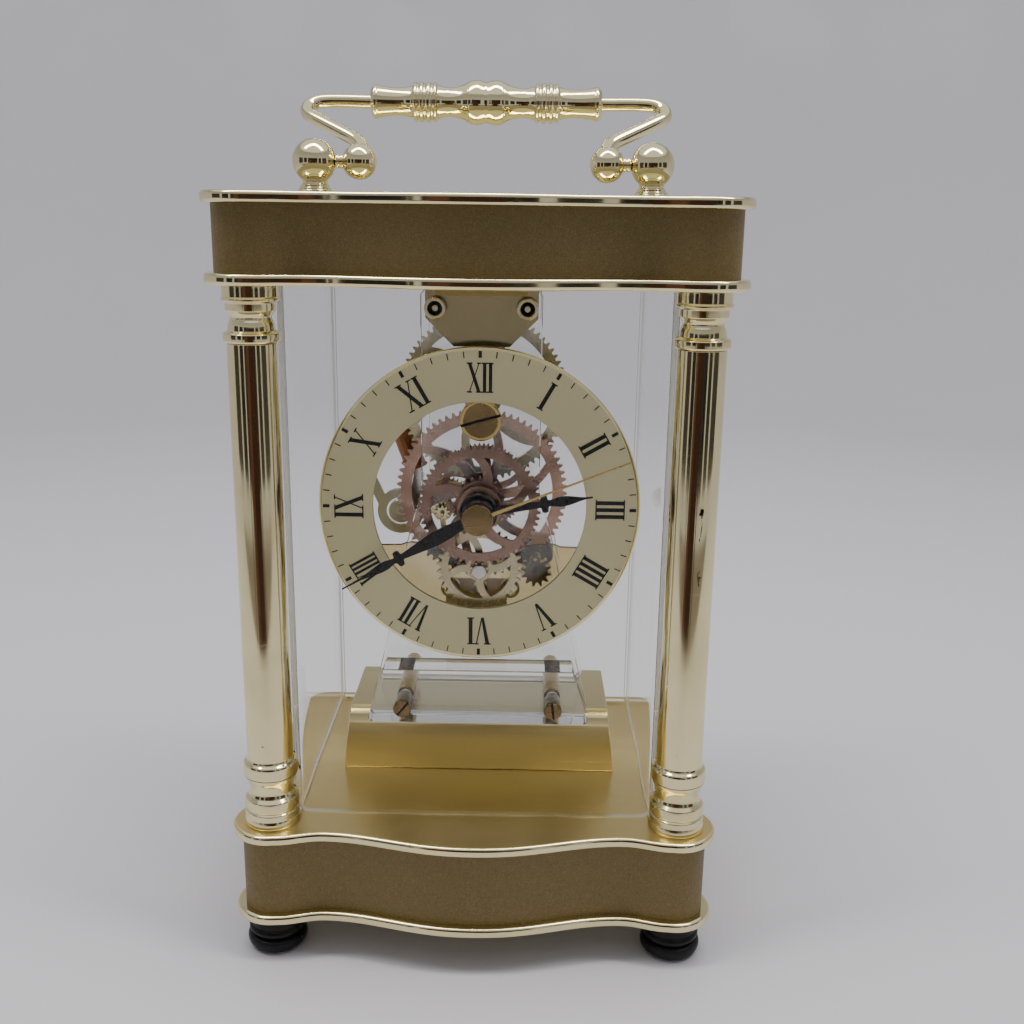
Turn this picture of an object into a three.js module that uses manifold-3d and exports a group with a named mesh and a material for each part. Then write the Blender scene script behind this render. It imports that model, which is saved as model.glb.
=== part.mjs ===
// Skeleton mantel clock under a clear cover: serpentine gold plates, two turned columns,
// a swing handle, a pedestal, and an open quartz movement with its wheels in mesh.
// Millimetres, +Z up, the front faces -Y, the floor is Z = 0.
import * as THREE from 'three';
import Module from 'manifold-3d';

const wasm = await Module();
wasm.setup();

// ---- levels of the case, from the floor up ----
const FOOT_H = 12.0;
const PLATE_T = 3.0;
const BASE_BAND_H = 22.75;
const Z_BAND = FOOT_H + PLATE_T;
const Z_DECK = Z_BAND + BASE_BAND_H;
const Z_DECK_TOP = Z_DECK + PLATE_T;
const Z_CEIL = 193.5;
const TOP_BAND_H = 17.1;
const Z_TOP_BAND = Z_CEIL + PLATE_T;
const Z_TOP = Z_TOP_BAND + TOP_BAND_H;
const Z_ROOF = Z_TOP + PLATE_T;
const GAP = 0.3;

// ---- plan of the plates ----
const EAR_X = 58.6;
const EAR_Y = -37.6;
const EAR_R = 11.4;
const BOW_Y = -53.1;
const WAIST_X = 43.0;
const WAIST_Y = -46.2;
const SIDE_X = 66.0;
const BACK_Y = 53.1;
const REAR_R = 9.0;
const BAND_INSET = 2.6;
const BAND_WALL = 2.2;

// ---- feet ----
const FOOT_R = 8.8;
const REAR_FOOT_X = 55.5;
const REAR_FOOT_Y = 42.0;

// ---- clear cover ----
const COVER_X = 53.7;
const COVER_FRONT = -34.6;
const COVER_BACK = 48.6;
const COVER_T = 2.2;
const COVER_BEND = 6.5;
const DOOR_Y = 46.3;
const DOOR_X = 50.8;
const HINGE_X = -49.7;

// ---- movement ----
const AXIS_Z = 128.45;
const DIAL_Y = -12.6;
const DIAL_T = 1.5;
const DIAL_R = 47.1;
const DIAL_HOLE_R = 31.3;
const FRONT_PLATE_Y = -5.3;
const BACK_PLATE_Y = 22.5;
const MOVEMENT_PLATE_T = 3.0;
const BLOCK_Y = -15.6;
const PEDESTAL_TOP = 60.9;
const PILLAR_X = 13.2;
const PILLAR_Z = 185.7;
const FOOT_SCREW_X = 22.8;
const FOOT_SCREW_Z = 66.6;
const BOSS_SCREW_Z = 153.5;

// ---- going train: module, tooth counts and where each wheel stands from the centre ----
const TRAIN_MODULE = 0.717;
const CENTRE_TEETH = 72;
const THIRD_PINION = 9;
const THIRD_TEETH = 75;
const SECONDS_PINION = 10;
const THIRD_AWAY = TRAIN_MODULE * (CENTRE_TEETH + THIRD_PINION) / 2;
const THIRD_MODULE = 2 * THIRD_AWAY / (THIRD_TEETH + SECONDS_PINION);
const STEP_MODULE = 0.45;
const SECONDS_TEETH = 60;
const STEP_PINION = 10;
const STEP_TEETH = 50;
const ROTOR_PINION = 10;
const STEP_AWAY = STEP_MODULE * (SECONDS_TEETH + STEP_PINION) / 2;
const ROTOR_AWAY = STEP_MODULE * (STEP_TEETH + ROTOR_PINION) / 2;
const STEP_ANGLE = 215;
const ROTOR_ANGLE = 180;
const SET_PINION = 12;
const SET_AWAY = TRAIN_MODULE * (CENTRE_TEETH + SET_PINION) / 2;
const SET_ANGLE = -55;

// ---- motion work ----
const HOUR_MODULE = 0.59;
const HOUR_TEETH = 60;
const MOTION_PINION = 8;
const MOTION_AWAY = HOUR_MODULE * (HOUR_TEETH + MOTION_PINION) / 2;
const CANNON_TEETH = 20;
const MOTION_TEETH = 32;
const CANNON_MODULE = 2 * MOTION_AWAY / (CANNON_TEETH + MOTION_TEETH);

// ---- the time shown, as clockwise degrees from twelve ----
const HOUR_AT = 81;
const MINUTE_AT = 240;
const SECOND_AT = 68;

// ---- handle ----
const POST_X = 47.7;
const HINGE_Z = Z_ROOF + 9.0;
const HANDLE_Y = 0.0;
const POST_BALL_R = 6.2;
const BAIL_BALL_X = 35.0;
const BAIL_BALL_R = 4.95;
const BAIL_LEAN = 52;
const BAIL_RISE = 29.5;
const BAIL_CORNER_X = 52.5;
const ROD_R = 1.75;
const GRIP_HALF = 34.8;

const rad = (deg) => deg * Math.PI / 180;
const polar = (r, deg) => [r * Math.cos(rad(deg)), r * Math.sin(rad(deg))];

// ---- solids ----
function plain(geometry) {
  const g = geometry.index ? geometry.toNonIndexed() : geometry.clone();
  g.deleteAttribute('normal');
  g.deleteAttribute('uv');
  return weld(g);
}

function weld(g) {
  const src = g.attributes.position;
  const seen = new Map();
  const verts = [];
  const tris = [];
  const ids = [];
  for (let i = 0; i < src.count; i += 1) {
    const p = [src.getX(i), src.getY(i), src.getZ(i)];
    const key = p.map((v) => Math.round(v * 20000)).join('_');
    if (!seen.has(key)) {
      seen.set(key, verts.length / 3);
      verts.push(...p);
    }
    ids.push(seen.get(key));
  }
  for (let i = 0; i < ids.length; i += 3) {
    const [a, b, c] = [ids[i], ids[i + 1], ids[i + 2]];
    if (a !== b && b !== c && a !== c) tris.push(a, b, c);
  }
  return new wasm.Manifold(new wasm.Mesh({
    numProp: 3, vertProperties: new Float32Array(verts), triVerts: new Uint32Array(tris),
  }));
}

const solid = (geometry) => plain(geometry);

function geometryOf(manifold) {
  const mesh = manifold.getMesh();
  const g = new THREE.BufferGeometry();
  g.setAttribute('position', new THREE.BufferAttribute(new Float32Array(mesh.vertProperties), 3));
  g.setIndex(new THREE.BufferAttribute(new Uint32Array(mesh.triVerts), 1));
  return g;
}

function joined(...parts) {
  return parts.reduce((all, one) => all.add(one));
}

function box(x0, x1, y0, y1, z0, z1) {
  const g = new THREE.BoxGeometry(x1 - x0, y1 - y0, z1 - z0);
  g.translate((x0 + x1) / 2, (y0 + y1) / 2, (z0 + z1) / 2);
  return solid(g);
}

function ball(r, x, y, z, rings = 8) {
  const points = [];
  for (let i = 0; i <= rings; i += 1) {
    const a = Math.PI * i / rings;
    points.push([i === 0 || i === rings ? 0 : r * Math.sin(a), -r * Math.cos(a)]);
  }
  return turned(points, 14).translate([x, y, z]);
}

// A profile of [radius, height] pairs turned about the Z axis.
function turned(profile, segments = 14) {
  const g = new THREE.LatheGeometry(profile.map(([r, h]) => new THREE.Vector2(r, h)), segments);
  g.rotateX(Math.PI / 2);
  return orient(solid(g), g);
}

function orient(manifold, g) {
  if (manifold.volume() > 0) return manifold;
  const p = g.index ? g.toNonIndexed() : g;
  const a = p.attributes.position.array.slice();
  for (let i = 0; i < a.length; i += 9) {
    for (let k = 0; k < 3; k += 1) {
      const t = a[i + 3 + k];
      a[i + 3 + k] = a[i + 6 + k];
      a[i + 6 + k] = t;
    }
  }
  const flipped = new THREE.BufferGeometry();
  flipped.setAttribute('position', new THREE.BufferAttribute(a, 3));
  return solid(flipped);
}

// The same profile with its axis along +Y: heights become distances back from y0.
function turnedY(profile, x, y0, z, segments = 14) {
  return turned(profile, segments).rotate([-90, 0, 0]).translate([x, y0, z]);
}

function turnedX(profile, x0, y, z, segments = 14) {
  return turned(profile, segments).rotate([0, 90, 0]).translate([x0, y, z]);
}

const rod = (r, length) => [[0, 0], [r, 0], [r, length], [0, length]];
const tube = (r, bore, length) => [[bore, 0], [r, 0], [r, length], [bore, length], [bore, 0]];

// A flat shape in X and Z, with its thickness going back from y0.
function slabY(shape, y0, thick, curve = 10) {
  const g = new THREE.ExtrudeGeometry(shape, { depth: thick, bevelEnabled: false, curveSegments: curve });
  g.rotateX(Math.PI / 2);
  g.translate(0, y0 + thick, 0);
  return solid(g);
}

// A flat shape in X and Y, with its thickness going up from z0.
function slabZ(shape, z0, thick, curve = 10) {
  const g = new THREE.ExtrudeGeometry(shape, { depth: thick, bevelEnabled: false, curveSegments: curve });
  g.translate(0, 0, z0);
  return solid(g);
}

function shapeOf(points, holes = []) {
  const s = new THREE.Shape(points.map(([x, y]) => new THREE.Vector2(x, y)));
  for (const hole of holes) s.holes.push(new THREE.Path(hole.map(([x, y]) => new THREE.Vector2(x, y))));
  return s;
}

function circle(r, n = 32, x = 0, y = 0) {
  return Array.from({ length: n }, (_, i) => {
    const a = 2 * Math.PI * i / n;
    return [x + r * Math.cos(a), y + r * Math.sin(a)];
  });
}

// ---- the plan shared by the four gold plates and the two bands ----
function platePlan(inset) {
  const r = EAR_R - inset;
  const right = [];
  const bow = 9;
  const bowY = BOW_Y + inset;
  const waistY = WAIST_Y + inset;
  for (let i = 0; i <= bow; i += 1) {
    const t = i / bow;
    const x = WAIST_X * t;
    right.push([x, bowY + (waistY - bowY) * (0.5 - 0.5 * Math.cos(Math.PI * t ** 1.12))]);
  }
  const join = rad(-100);
  const joinX = EAR_X + r * Math.cos(join);
  const joinY = EAR_Y + r * Math.sin(join);
  for (let i = 1; i < 4; i += 1) {
    const t = i / 4;
    right.push([WAIST_X + (joinX - WAIST_X) * t, waistY + (joinY - waistY) * (0.5 - 0.5 * Math.cos(Math.PI * t))]);
  }
  for (let i = 0; i <= 10; i += 1) {
    const a = join + (rad(38) - join) * i / 10;
    right.push([EAR_X + r * Math.cos(a), EAR_Y + r * Math.sin(a)]);
  }
  const sideX = SIDE_X - inset;
  right.push([sideX + 0.35, EAR_Y + r * Math.sin(rad(38)) + 3.2]);
  right.push([sideX, EAR_Y + r * Math.sin(rad(38)) + 8.0]);
  const backY = BACK_Y - inset;
  const rr = REAR_R - inset;
  for (let i = 0; i <= 5; i += 1) {
    const a = rad(90) * i / 5;
    right.push([sideX - rr + rr * Math.cos(a), backY - rr + rr * Math.sin(a)]);
  }
  const left = right.slice(1).reverse().map(([x, y]) => [-x, y]);
  return right.concat(left);
}

function gearPlan(teeth, module, phaseDeg = 0, slim = 0.3) {
  const pitch = module * teeth / 2;
  const outer = pitch + 0.82 * module;
  const root = pitch - 1.02 * module;
  const step = 360 / teeth;
  const foot = step * slim;
  const points = [];
  for (let i = 0; i < teeth; i += 1) {
    const mid = phaseDeg + i * step;
    for (const [r, a] of [[root, -foot], [outer, 0], [root, foot]]) {
      points.push(polar(r, mid + a));
    }
  }
  return points;
}

// The windows between the curved spokes of a wheel.
function spokeWindows(count, rIn, rOut, sweep, spokeWidth, turn = 0) {
  const windows = [];
  for (let k = 0; k < count; k += 1) {
    const start = turn + 360 * k / count;
    const end = turn + 360 * (k + 1) / count;
    const loop = [];
    const rows = 3;
    for (let i = 0; i <= rows; i += 1) {
      const r = rIn + (rOut - rIn) * i / rows;
      const half = spokeWidth / 2 / r * 180 / Math.PI;
      loop.push(polar(r, start + half + sweep * (i / rows) ** 1.4));
    }
    const outerHalf = spokeWidth / 2 / rOut * 180 / Math.PI;
    for (let i = 1; i < 4; i += 1) {
      loop.push(polar(rOut, start + outerHalf + sweep + (end - start - 2 * outerHalf) * i / 4));
    }
    for (let i = rows; i >= 0; i -= 1) {
      const r = rIn + (rOut - rIn) * i / rows;
      const half = spokeWidth / 2 / r * 180 / Math.PI;
      loop.push(polar(r, end - half + sweep * (i / rows) ** 1.4));
    }
    loop.push(polar(rIn, start + (end - start) / 2));
    windows.push(loop);
  }
  return windows;
}

function wheel({ teeth, module, phase, y, thick, bore, spokes, hub, rim, sweep = 18, width = 2.6 }) {
  const root = module * teeth / 2 - 1.02 * module;
  const holes = [circle(bore, 12).reverse()];
  if (spokes) holes.push(...spokeWindows(spokes, hub, root - rim, sweep, width).map((w) => w.reverse()));
  return slabY(shapeOf(gearPlan(teeth, module, phase), holes), y, thick);
}

// A pinion stands opposite a wheel tooth with one of its gaps on the line of centres.
const gapPhase = (lineDeg, teeth) => lineDeg + 180 + 180 / teeth;

const FINISHES = {
  gold: { color: 0xd8b25a, metalness: 1, roughness: 0.2 },
  brushedGold: { color: 0xb9934a, metalness: 1, roughness: 0.4 },
  bronze: { color: 0x6a5836, metalness: 0.7, roughness: 0.5 },
  copper: { color: 0xa86a52, metalness: 1, roughness: 0.3 },
  steel: { color: 0xb9bcc0, metalness: 1, roughness: 0.25 },
  black: { color: 0x101010, metalness: 0, roughness: 0.4 },
  clear: { color: 0xe8f0ec, metalness: 0, roughness: 0.05, transparent: true, opacity: 0.35 },
  smoke: { color: 0xb8b08a, metalness: 0, roughness: 0.2, transparent: true, opacity: 0.6 },
  dial: { color: 0xc9bf9a, metalness: 0.4, roughness: 0.4 },
  winding: { color: 0x9a4a1c, metalness: 0.8, roughness: 0.4 },
  board: { color: 0x5a4a22, metalness: 0, roughness: 0.6 },
  cell: { color: 0x30343a, metalness: 0.3, roughness: 0.4 },
};

const group = new THREE.Group();
group.name = 'skeleton_clock';

function put(name, manifold, finish) {
  const mesh = new THREE.Mesh(geometryOf(manifold), new THREE.MeshStandardMaterial(FINISHES[finish]));
  mesh.name = name;
  mesh.material.name = `${name}_finish`;
  group.add(mesh);
}

// ---- base ----
function plate(z0) {
  return slabZ(shapeOf(platePlan(0)), z0, PLATE_T);
}

function band(z0, height) {
  const inner = platePlan(BAND_INSET + BAND_WALL).reverse();
  return slabZ(shapeOf(platePlan(BAND_INSET), [inner]), z0 + 0.02, height - 0.04);
}

function bottomPlate() {
  const rails = [-1, 1].map((s) => joined(
    box(Math.min(s * 31.4, s * 33.2), Math.max(s * 31.4, s * 33.2), -4, 27, 9.0, FOOT_H + 0.5),
    box(Math.min(s * 29.4, s * 33.2), Math.max(s * 29.4, s * 33.2), -4, 27, 8.8, 9.9),
  ));
  return joined(plate(FOOT_H).subtract(box(-28, 28, -0.5, 22.5, 5, 20)), ...rails);
}

function batteryCover() {
  const ribs = [20, 22, 24].map((y) => box(-9, 9, y - 0.4, y + 0.4, 9.6, 10.5));
  return joined(box(-31, 31, -3, 26, 10.3, 11.7), ...ribs);
}

function batteryTray() {
  const body = box(-30.5, 30.5, -2.6, 24.6, Z_BAND + GAP, 35.5);
  return body.subtract(box(-28, 28, -0.5, 22.5, 10, 33.6));
}

function batteryCell() {
  return turnedX([[0, 0], [7.1, 0], [7.1, 49.2], [2.6, 49.2], [2.6, 50.5], [0, 50.5]], -25.2, 11, 25.2, 16);
}

function batteryContacts() {
  const strip = box(-27.7, -27.1, 6, 16, 17, 33.2);
  const far = box(26.9, 27.5, 6, 16, 17, 33.2);
  const link = box(-27.7, 27.5, 10, 12, 32.75, 33.3);
  return joined(strip, far, link);
}

function foot(x, y) {
  const profile = [[0, 0], [5.6, 0], [7.3, 0.9], [8.4, 3.2], [8.1, 3.8], [FOOT_R, 5.2],
    [FOOT_R, FOOT_H - 0.02], [0, FOOT_H - 0.02]];
  return turned(profile, 14).translate([x, y, 0]);
}

// ---- pedestal: a drawn sheet-metal housing, open underneath ----
function pedestal() {
  const outer = pedestalSkin(0);
  const inner = pedestalSkin(1.3);
  return outer.subtract(inner);
}

function pedestalSkin(wall) {
  const top = PEDESTAL_TOP - wall;
  const front = -5.9 + wall;
  const back = 32.4 - wall;
  const bend = 4.6 - wall * 0.7;
  const foot0 = Z_DECK_TOP + (wall ? -2 : 0.05);
  const side = [[front, foot0]];
  for (let i = 0; i <= 6; i += 1) {
    const a = rad(180 - 15 * i);
    side.push([front + bend + bend * Math.cos(a), top - bend + bend * Math.sin(a)]);
  }
  for (let i = 0; i <= 6; i += 1) {
    const a = rad(90 - 15 * i);
    side.push([back - bend + bend * Math.cos(a), top - bend + bend * Math.sin(a)]);
  }
  side.push([back, foot0]);
  const g = new THREE.ExtrudeGeometry(shapeOf(side), { depth: 100, bevelEnabled: false });
  g.applyMatrix4(new THREE.Matrix4().set(0, 0, 1, -50, 1, 0, 0, 0, 0, 1, 0, 0, 0, 0, 0, 1));
  const wide = 42.7 - wall;
  const high = 40.6 - wall;
  const taper = slabY(shapeOf([[-wide, Z_DECK_TOP], [-wide - 0.2, Z_DECK_TOP - 4], [wide + 0.2, Z_DECK_TOP - 4],
    [wide, Z_DECK_TOP], [high, PEDESTAL_TOP + 3], [-high, PEDESTAL_TOP + 3]]), -20, 70);
  return solid(g).intersect(taper);
}

// ---- columns ----
function columnBase(x) {
  const z = Z_DECK_TOP + 0.02;
  const profile = [[0, z], [8.0, z], [8.05, z + 1.6], [7.75, 43.2], [7.75, 44.8], [7.2, 45.3],
    [7.75, 46.0], [7.7, 48.6], [6.5, 49.6], [6.2, 50.8], [6.6, 53.0], [7.55, 55.7], [0, 55.7]];
  return turned(profile, 16).translate([x, EAR_Y, 0]);
}

function columnShaft(x) {
  const profile = [[0, 56.0], [7.7, 56.0], [7.7, 59.4], [7.3, 60.1], [6.5, 60.6], [6.5, 178.5], [0, 178.5]];
  return turned(profile, 16).translate([x, EAR_Y, 0]);
}

function columnCapital(x) {
  const top = Z_CEIL - 0.02;
  const profile = [[0, 178.8], [7.0, 178.8], [7.4, 179.2], [7.4, 181.0], [6.1, 181.9], [6.0, 183.2],
    [5.3, 185.1], [6.4, 186.8], [6.4, 189.5], [7.5, 189.6], [7.5, top], [0, top]];
  return turned(profile, 16).translate([x, EAR_Y, 0]);
}

// ---- clear cover and rear door ----
function bent(x, front, bendR, ccw = true) {
  const pts = [[-x, COVER_BACK]];
  for (let i = 0; i <= 6; i += 1) {
    const a = rad(180 + 15 * i);
    pts.push([-x + bendR + bendR * Math.cos(a), front + bendR + bendR * Math.sin(a)]);
  }
  for (let i = 0; i <= 6; i += 1) {
    const a = rad(270 + 15 * i);
    pts.push([x - bendR + bendR * Math.cos(a), front + bendR + bendR * Math.sin(a)]);
  }
  pts.push([x, COVER_BACK]);
  return ccw ? pts : pts.reverse();
}

function coverWrap() {
  const plan = bent(COVER_X, COVER_FRONT, COVER_BEND)
    .concat(bent(COVER_X - COVER_T, COVER_FRONT + COVER_T, COVER_BEND - COVER_T, false));
  return slabZ(shapeOf(plan), Z_DECK_TOP + GAP, Z_CEIL - Z_DECK_TOP - 2 * GAP);
}

function rearDoor() {
  return box(-DOOR_X, DOOR_X, DOOR_Y, DOOR_Y + COVER_T, Z_DECK_TOP + 0.8, Z_CEIL - 0.8)
    .subtract(turnedY(rod(1.5, 6), 42, DOOR_Y - 2, 117, 20));
}

function doorPin(z0) {
  return turned(rod(0.8, 2.7), 16).translate([HINGE_X, DOOR_Y + COVER_T / 2, z0]);
}

function doorKnob() {
  const profile = [[0, 0], [2.4, 0], [2.4, 0.9], [1.2, 0.9], [1.2, 3.6], [2.2, 3.7], [2.2, 4.4], [3.6, 4.8],
    [3.7, 6.4], [3.0, 7.4], [0, 7.6]];
  return turnedY(profile, 42, DOOR_Y - 1.2, 117, 14);
}

function pinHole(z0, z1) {
  return turned(rod(1.1, z1 - z0), 16).translate([HINGE_X, DOOR_Y + COVER_T / 2, z0]);
}

// ---- handle ----
function handlePost(side) {
  const z = Z_ROOF + 0.02;
  const profile = [[0, z], [6.3, z], [6.3, z + 0.7], [4.6, z + 1.0], [4.4, z + 1.9], [3.4, z + 2.3], [3.4, z + 4.5], [0, z + 4.5]];
  const neck = turned(profile, 14).translate([side * POST_X, HANDLE_Y, 0]);
  const bore = turnedX(rod(1.2, 20), side > 0 ? POST_X - 20 : -POST_X, HANDLE_Y, HINGE_Z, 10);
  return joined(neck, ball(POST_BALL_R, side * POST_X, HANDLE_Y, HINGE_Z)).subtract(bore);
}

function pivotPin(side) {
  const x0 = BAIL_BALL_X - 3.2;
  const pin = turned([[0, 0], [0.9, 0], [0.9, 8.3], [1.8, 8.4], [1.95, 8.9], [1.8, 9.4], [0.9, 9.5],
    [0.9, 14.6], [0, 14.6]], 12);
  const placed = pin.rotate([0, 90, 0]).translate([x0, HANDLE_Y, HINGE_Z]);
  return side > 0 ? placed : placed.mirror([1, 0, 0]);
}

function bailPath() {
  const lean = rad(BAIL_LEAN);
  const at = (x, up) => new THREE.Vector3(x, HANDLE_Y + up * Math.sin(lean), HINGE_Z + up * Math.cos(lean));
  const half = [[35.4, 2.2], [39.5, 8.4], [44.5, 15.6], [49.4, 21.6], [51.8, 24.6], [52.3, 26.6], [51.4, 28.4],
    [49.2, 29.4], [46.0, BAIL_RISE], [38.0, BAIL_RISE]];
  const right = half.map(([x, up]) => at(x, up));
  const left = half.slice().reverse().map(([x, up]) => at(-x, up));
  return new THREE.CatmullRomCurve3([...right, ...left], false, 'centripetal');
}

function bail() {
  const ring = new THREE.Shape(circle(ROD_R, 7).map(([x, y]) => new THREE.Vector2(x, y)));
  const g = new THREE.ExtrudeGeometry(ring, { steps: 30, extrudePath: bailPath(), bevelEnabled: false });
  const rodBody = orient(solid(g), g);
  const balls = [-1, 1].map((s) => ball(BAIL_BALL_R, s * BAIL_BALL_X, HANDLE_Y, HINGE_Z)
    .subtract(turnedX(rod(1.2, 12), s > 0 ? BAIL_BALL_X - 3.6 : -BAIL_BALL_X - 8.4, HANDLE_Y, HINGE_Z, 10)));
  return joined(rodBody, ...balls);
}

function handleGrip() {
  const half = [[0, 6.2], [2.2, 5.6], [3.6, 6.2], [5.4, 6.0], [8.6, 4.4], [11.6, 3.9], [14.4, 5.0], [15.4, 6.1],
    [16.4, 5.5], [17.6, 6.1], [18.6, 5.5], [20.2, 6.1], [21.4, 5.0], [23.8, 4.0], [28.6, 4.0], [32.4, 5.2],
    [34.2, 5.0], [GRIP_HALF, 4.2]];
  const right = half.map(([x, r]) => [r, x]);
  const left = half.slice(1).reverse().map(([x, r]) => [r, -x]);
  const skin = [[2.05, -GRIP_HALF], ...left, ...right, [2.05, GRIP_HALF], [2.05, -GRIP_HALF]];
  const lean = rad(BAIL_LEAN);
  return turned(skin, 14).rotate([0, 90, 0])
    .translate([0, HANDLE_Y + BAIL_RISE * Math.sin(lean), HINGE_Z + BAIL_RISE * Math.cos(lean)]);
}

// ---- movement frame ----
function movementPlan() {
  const half = [[33.2, PEDESTAL_TOP + GAP], [33.6, 63.4], [28.6, 84], [25.5, 100], [22.0, 116], [17.6, 132],
    [17.6, 189.4], [15.8, 191.5]];
  return half.concat(half.slice().reverse().map(([x, z]) => [-x, z]));
}

function drill(x, z, r, y0 = -30, length = 80, n = 12) {
  return turnedY(rod(r, length), x, y0, z, n);
}

function frontPlate() {
  const cuts = [drill(0, AXIS_Z, 2.2), drill(0, BOSS_SCREW_Z, 2.3)];
  for (const s of [-1, 1]) {
    cuts.push(drill(s * PILLAR_X, PILLAR_Z, 2.1), drill(s * FOOT_SCREW_X, FOOT_SCREW_Z, 1.8));
  }
  const motion = drill(0, AXIS_Z - MOTION_AWAY, 1.5);
  return cuts.concat([motion]).reduce((a, b) => a.subtract(b),
    slabY(shapeOf(movementPlan()), FRONT_PLATE_Y, MOVEMENT_PLATE_T));
}

function backPlate() {
  const [sx, sz] = polar(SET_AWAY, SET_ANGLE);
  let body = slabY(shapeOf(movementPlan()), BACK_PLATE_Y, MOVEMENT_PLATE_T);
  body = body.subtract(drill(sx, AXIS_Z + sz, 1.6, 10, 30));
  for (const s of [-1, 1]) {
    body = body.subtract(drill(s * PILLAR_X, PILLAR_Z, 1.6, 10, 30)).subtract(drill(s * FOOT_SCREW_X, FOOT_SCREW_Z, 1.6, 10, 30));
  }
  return body;
}

function nameBlock() {
  const half = [[32.6, PEDESTAL_TOP + GAP], [33.6, 62.4], [28.8, 78.5]];
  const plan = half.concat(half.slice().reverse().map(([x, z]) => [-x, z]));
  let body = slabY(shapeOf(plan), BLOCK_Y, FRONT_PLATE_Y - GAP - BLOCK_Y);
  for (const s of [-1, 1]) body = body.subtract(drill(s * FOOT_SCREW_X, FOOT_SCREW_Z, 2.4));
  return body;
}

function topBracket() {
  const face = [[16.4, 193.2], [16.4, 182.6], [8.2, 174.4]];
  const plan = face.concat(face.slice().reverse().map(([x, z]) => [-x, z]));
  let rear = slabY(shapeOf(plan), FRONT_PLATE_Y + MOVEMENT_PLATE_T + GAP, 1.3);
  for (const s of [-1, 1]) rear = rear.subtract(drill(s * PILLAR_X, PILLAR_Z, 2.1));
  const roof = box(-16.4, 16.4, -7.2, 26.8, 191.8, 193.2);
  const lip = box(-13.2, 13.2, -7.2, -5.7, 189.2, 192.2);
  const back = box(-16.4, 16.4, 25.8, 27.1, 180, 193.2);
  let all = joined(rear, roof, lip, back);
  for (const s of [-1, 1]) all = all.subtract(drill(s * PILLAR_X, PILLAR_Z, 1.6, 20, 20));
  return all;
}

function upperPillar(side) {
  const y0 = FRONT_PLATE_Y - 3.2;
  const profile = [[1.25, 0], [3.1, 0], [3.1, 2.9], [1.8, 2.9], [1.8, 8.2], [2.4, 8.2], [2.4, 30.4], [1.3, 30.4],
    [1.3, 36.4], [0, 36.4], [0, 4.0], [1.25, 4.0], [1.25, 0]];
  return turnedY(profile, side * PILLAR_X, y0, PILLAR_Z, 16);
}

function lowerPillar(side) {
  const y0 = FRONT_PLATE_Y + MOVEMENT_PLATE_T + GAP;
  const end = BACK_PLATE_Y - GAP - y0;
  return turnedY([[0, 0], [2.6, 0], [2.6, end], [1.3, end], [1.3, end + 4.4], [0, end + 4.4]],
    side * FOOT_SCREW_X, y0, FOOT_SCREW_Z, 14);
}

function footScrew(side) {
  const head = turnedY([[0, 0], [2.5, 0], [2.75, 0.4], [2.75, 2.4], [2.1, 2.6], [2.1, 10.2], [1.5, 10.2],
    [1.5, 14.6], [0, 14.6]], side * FOOT_SCREW_X, BLOCK_Y - 2.7, FOOT_SCREW_Z, 16);
  const x = side * FOOT_SCREW_X;
  const slot = box(-4, 4, -1, 0.8, -0.35, 0.35).rotate([0, side < 0 ? -52 : 82, 0]);
  return head.subtract(slot.translate([x, BLOCK_Y - 2.7, FOOT_SCREW_Z]));
}

function bossScrew() {
  const head = turnedY([[0, 0], [5.7, 0], [6.1, 0.5], [6.1, 2.4], [2.0, 2.4], [2.0, 7.0], [0, 7.0]],
    0, FRONT_PLATE_Y - 2.7, BOSS_SCREW_Z, 22);
  const slot = box(-8, 8, -1, 0.9, -0.45, 0.45).rotate([0, -16, 0]);
  return head.subtract(slot.translate([0, FRONT_PLATE_Y - 2.7, BOSS_SCREW_Z]));
}

function lowerBridge() {
  const pts = [];
  for (let i = 0; i <= 10; i += 1) {
    const a = 206 + 12.8 * i;
    pts.push(polar(36, a));
  }
  for (const p of [[24.6, -15.6], [21.5, -14.4], [10.4, -15.4], [8.6, -18.8], [-8.6, -18.8], [-10.4, -15.4],
    [-21.5, -14.4], [-24.6, -15.6]]) pts.push(p);
  const body = slabY(shapeOf(pts), 0.6, 2.0).translate([0, 0, AXIS_Z]);
  const rings = [[-9.2, 3.0], [0, 2.2], [9.2, 3.0]].map(([x, r]) => turnedY(tube(r, r - 0.8, 3.0), x, -0.2, AXIS_Z - 28.6, 12));
  const legs = [-6.2, 6.2].map((x) => turnedY(rod(1.3, 5.0), x, -1.6, AXIS_Z - 21.4, 10));
  return joined(body, ...rings, ...legs);
}

// ---- dial and hands ----
function chapterRing() {
  const profile = [[DIAL_HOLE_R, 0.15], [DIAL_R - 0.7, 0.0], [DIAL_R, 0.4], [DIAL_R, DIAL_T],
    [DIAL_HOLE_R, DIAL_T], [DIAL_HOLE_R, 0.15]];
  const ring = turnedY(profile, 0, DIAL_Y, AXIS_Z, 48);
  const reach = FRONT_PLATE_Y - GAP - (DIAL_Y + DIAL_T - GAP);
  const studs = [70, 110, 235, 305].map((a) => {
    const [x, z] = polar(37.5, a);
    return turnedY(rod(1.4, reach), x, DIAL_Y + DIAL_T - GAP, AXIS_Z + z, 8);
  });
  return joined(ring, ...studs);
}

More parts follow.
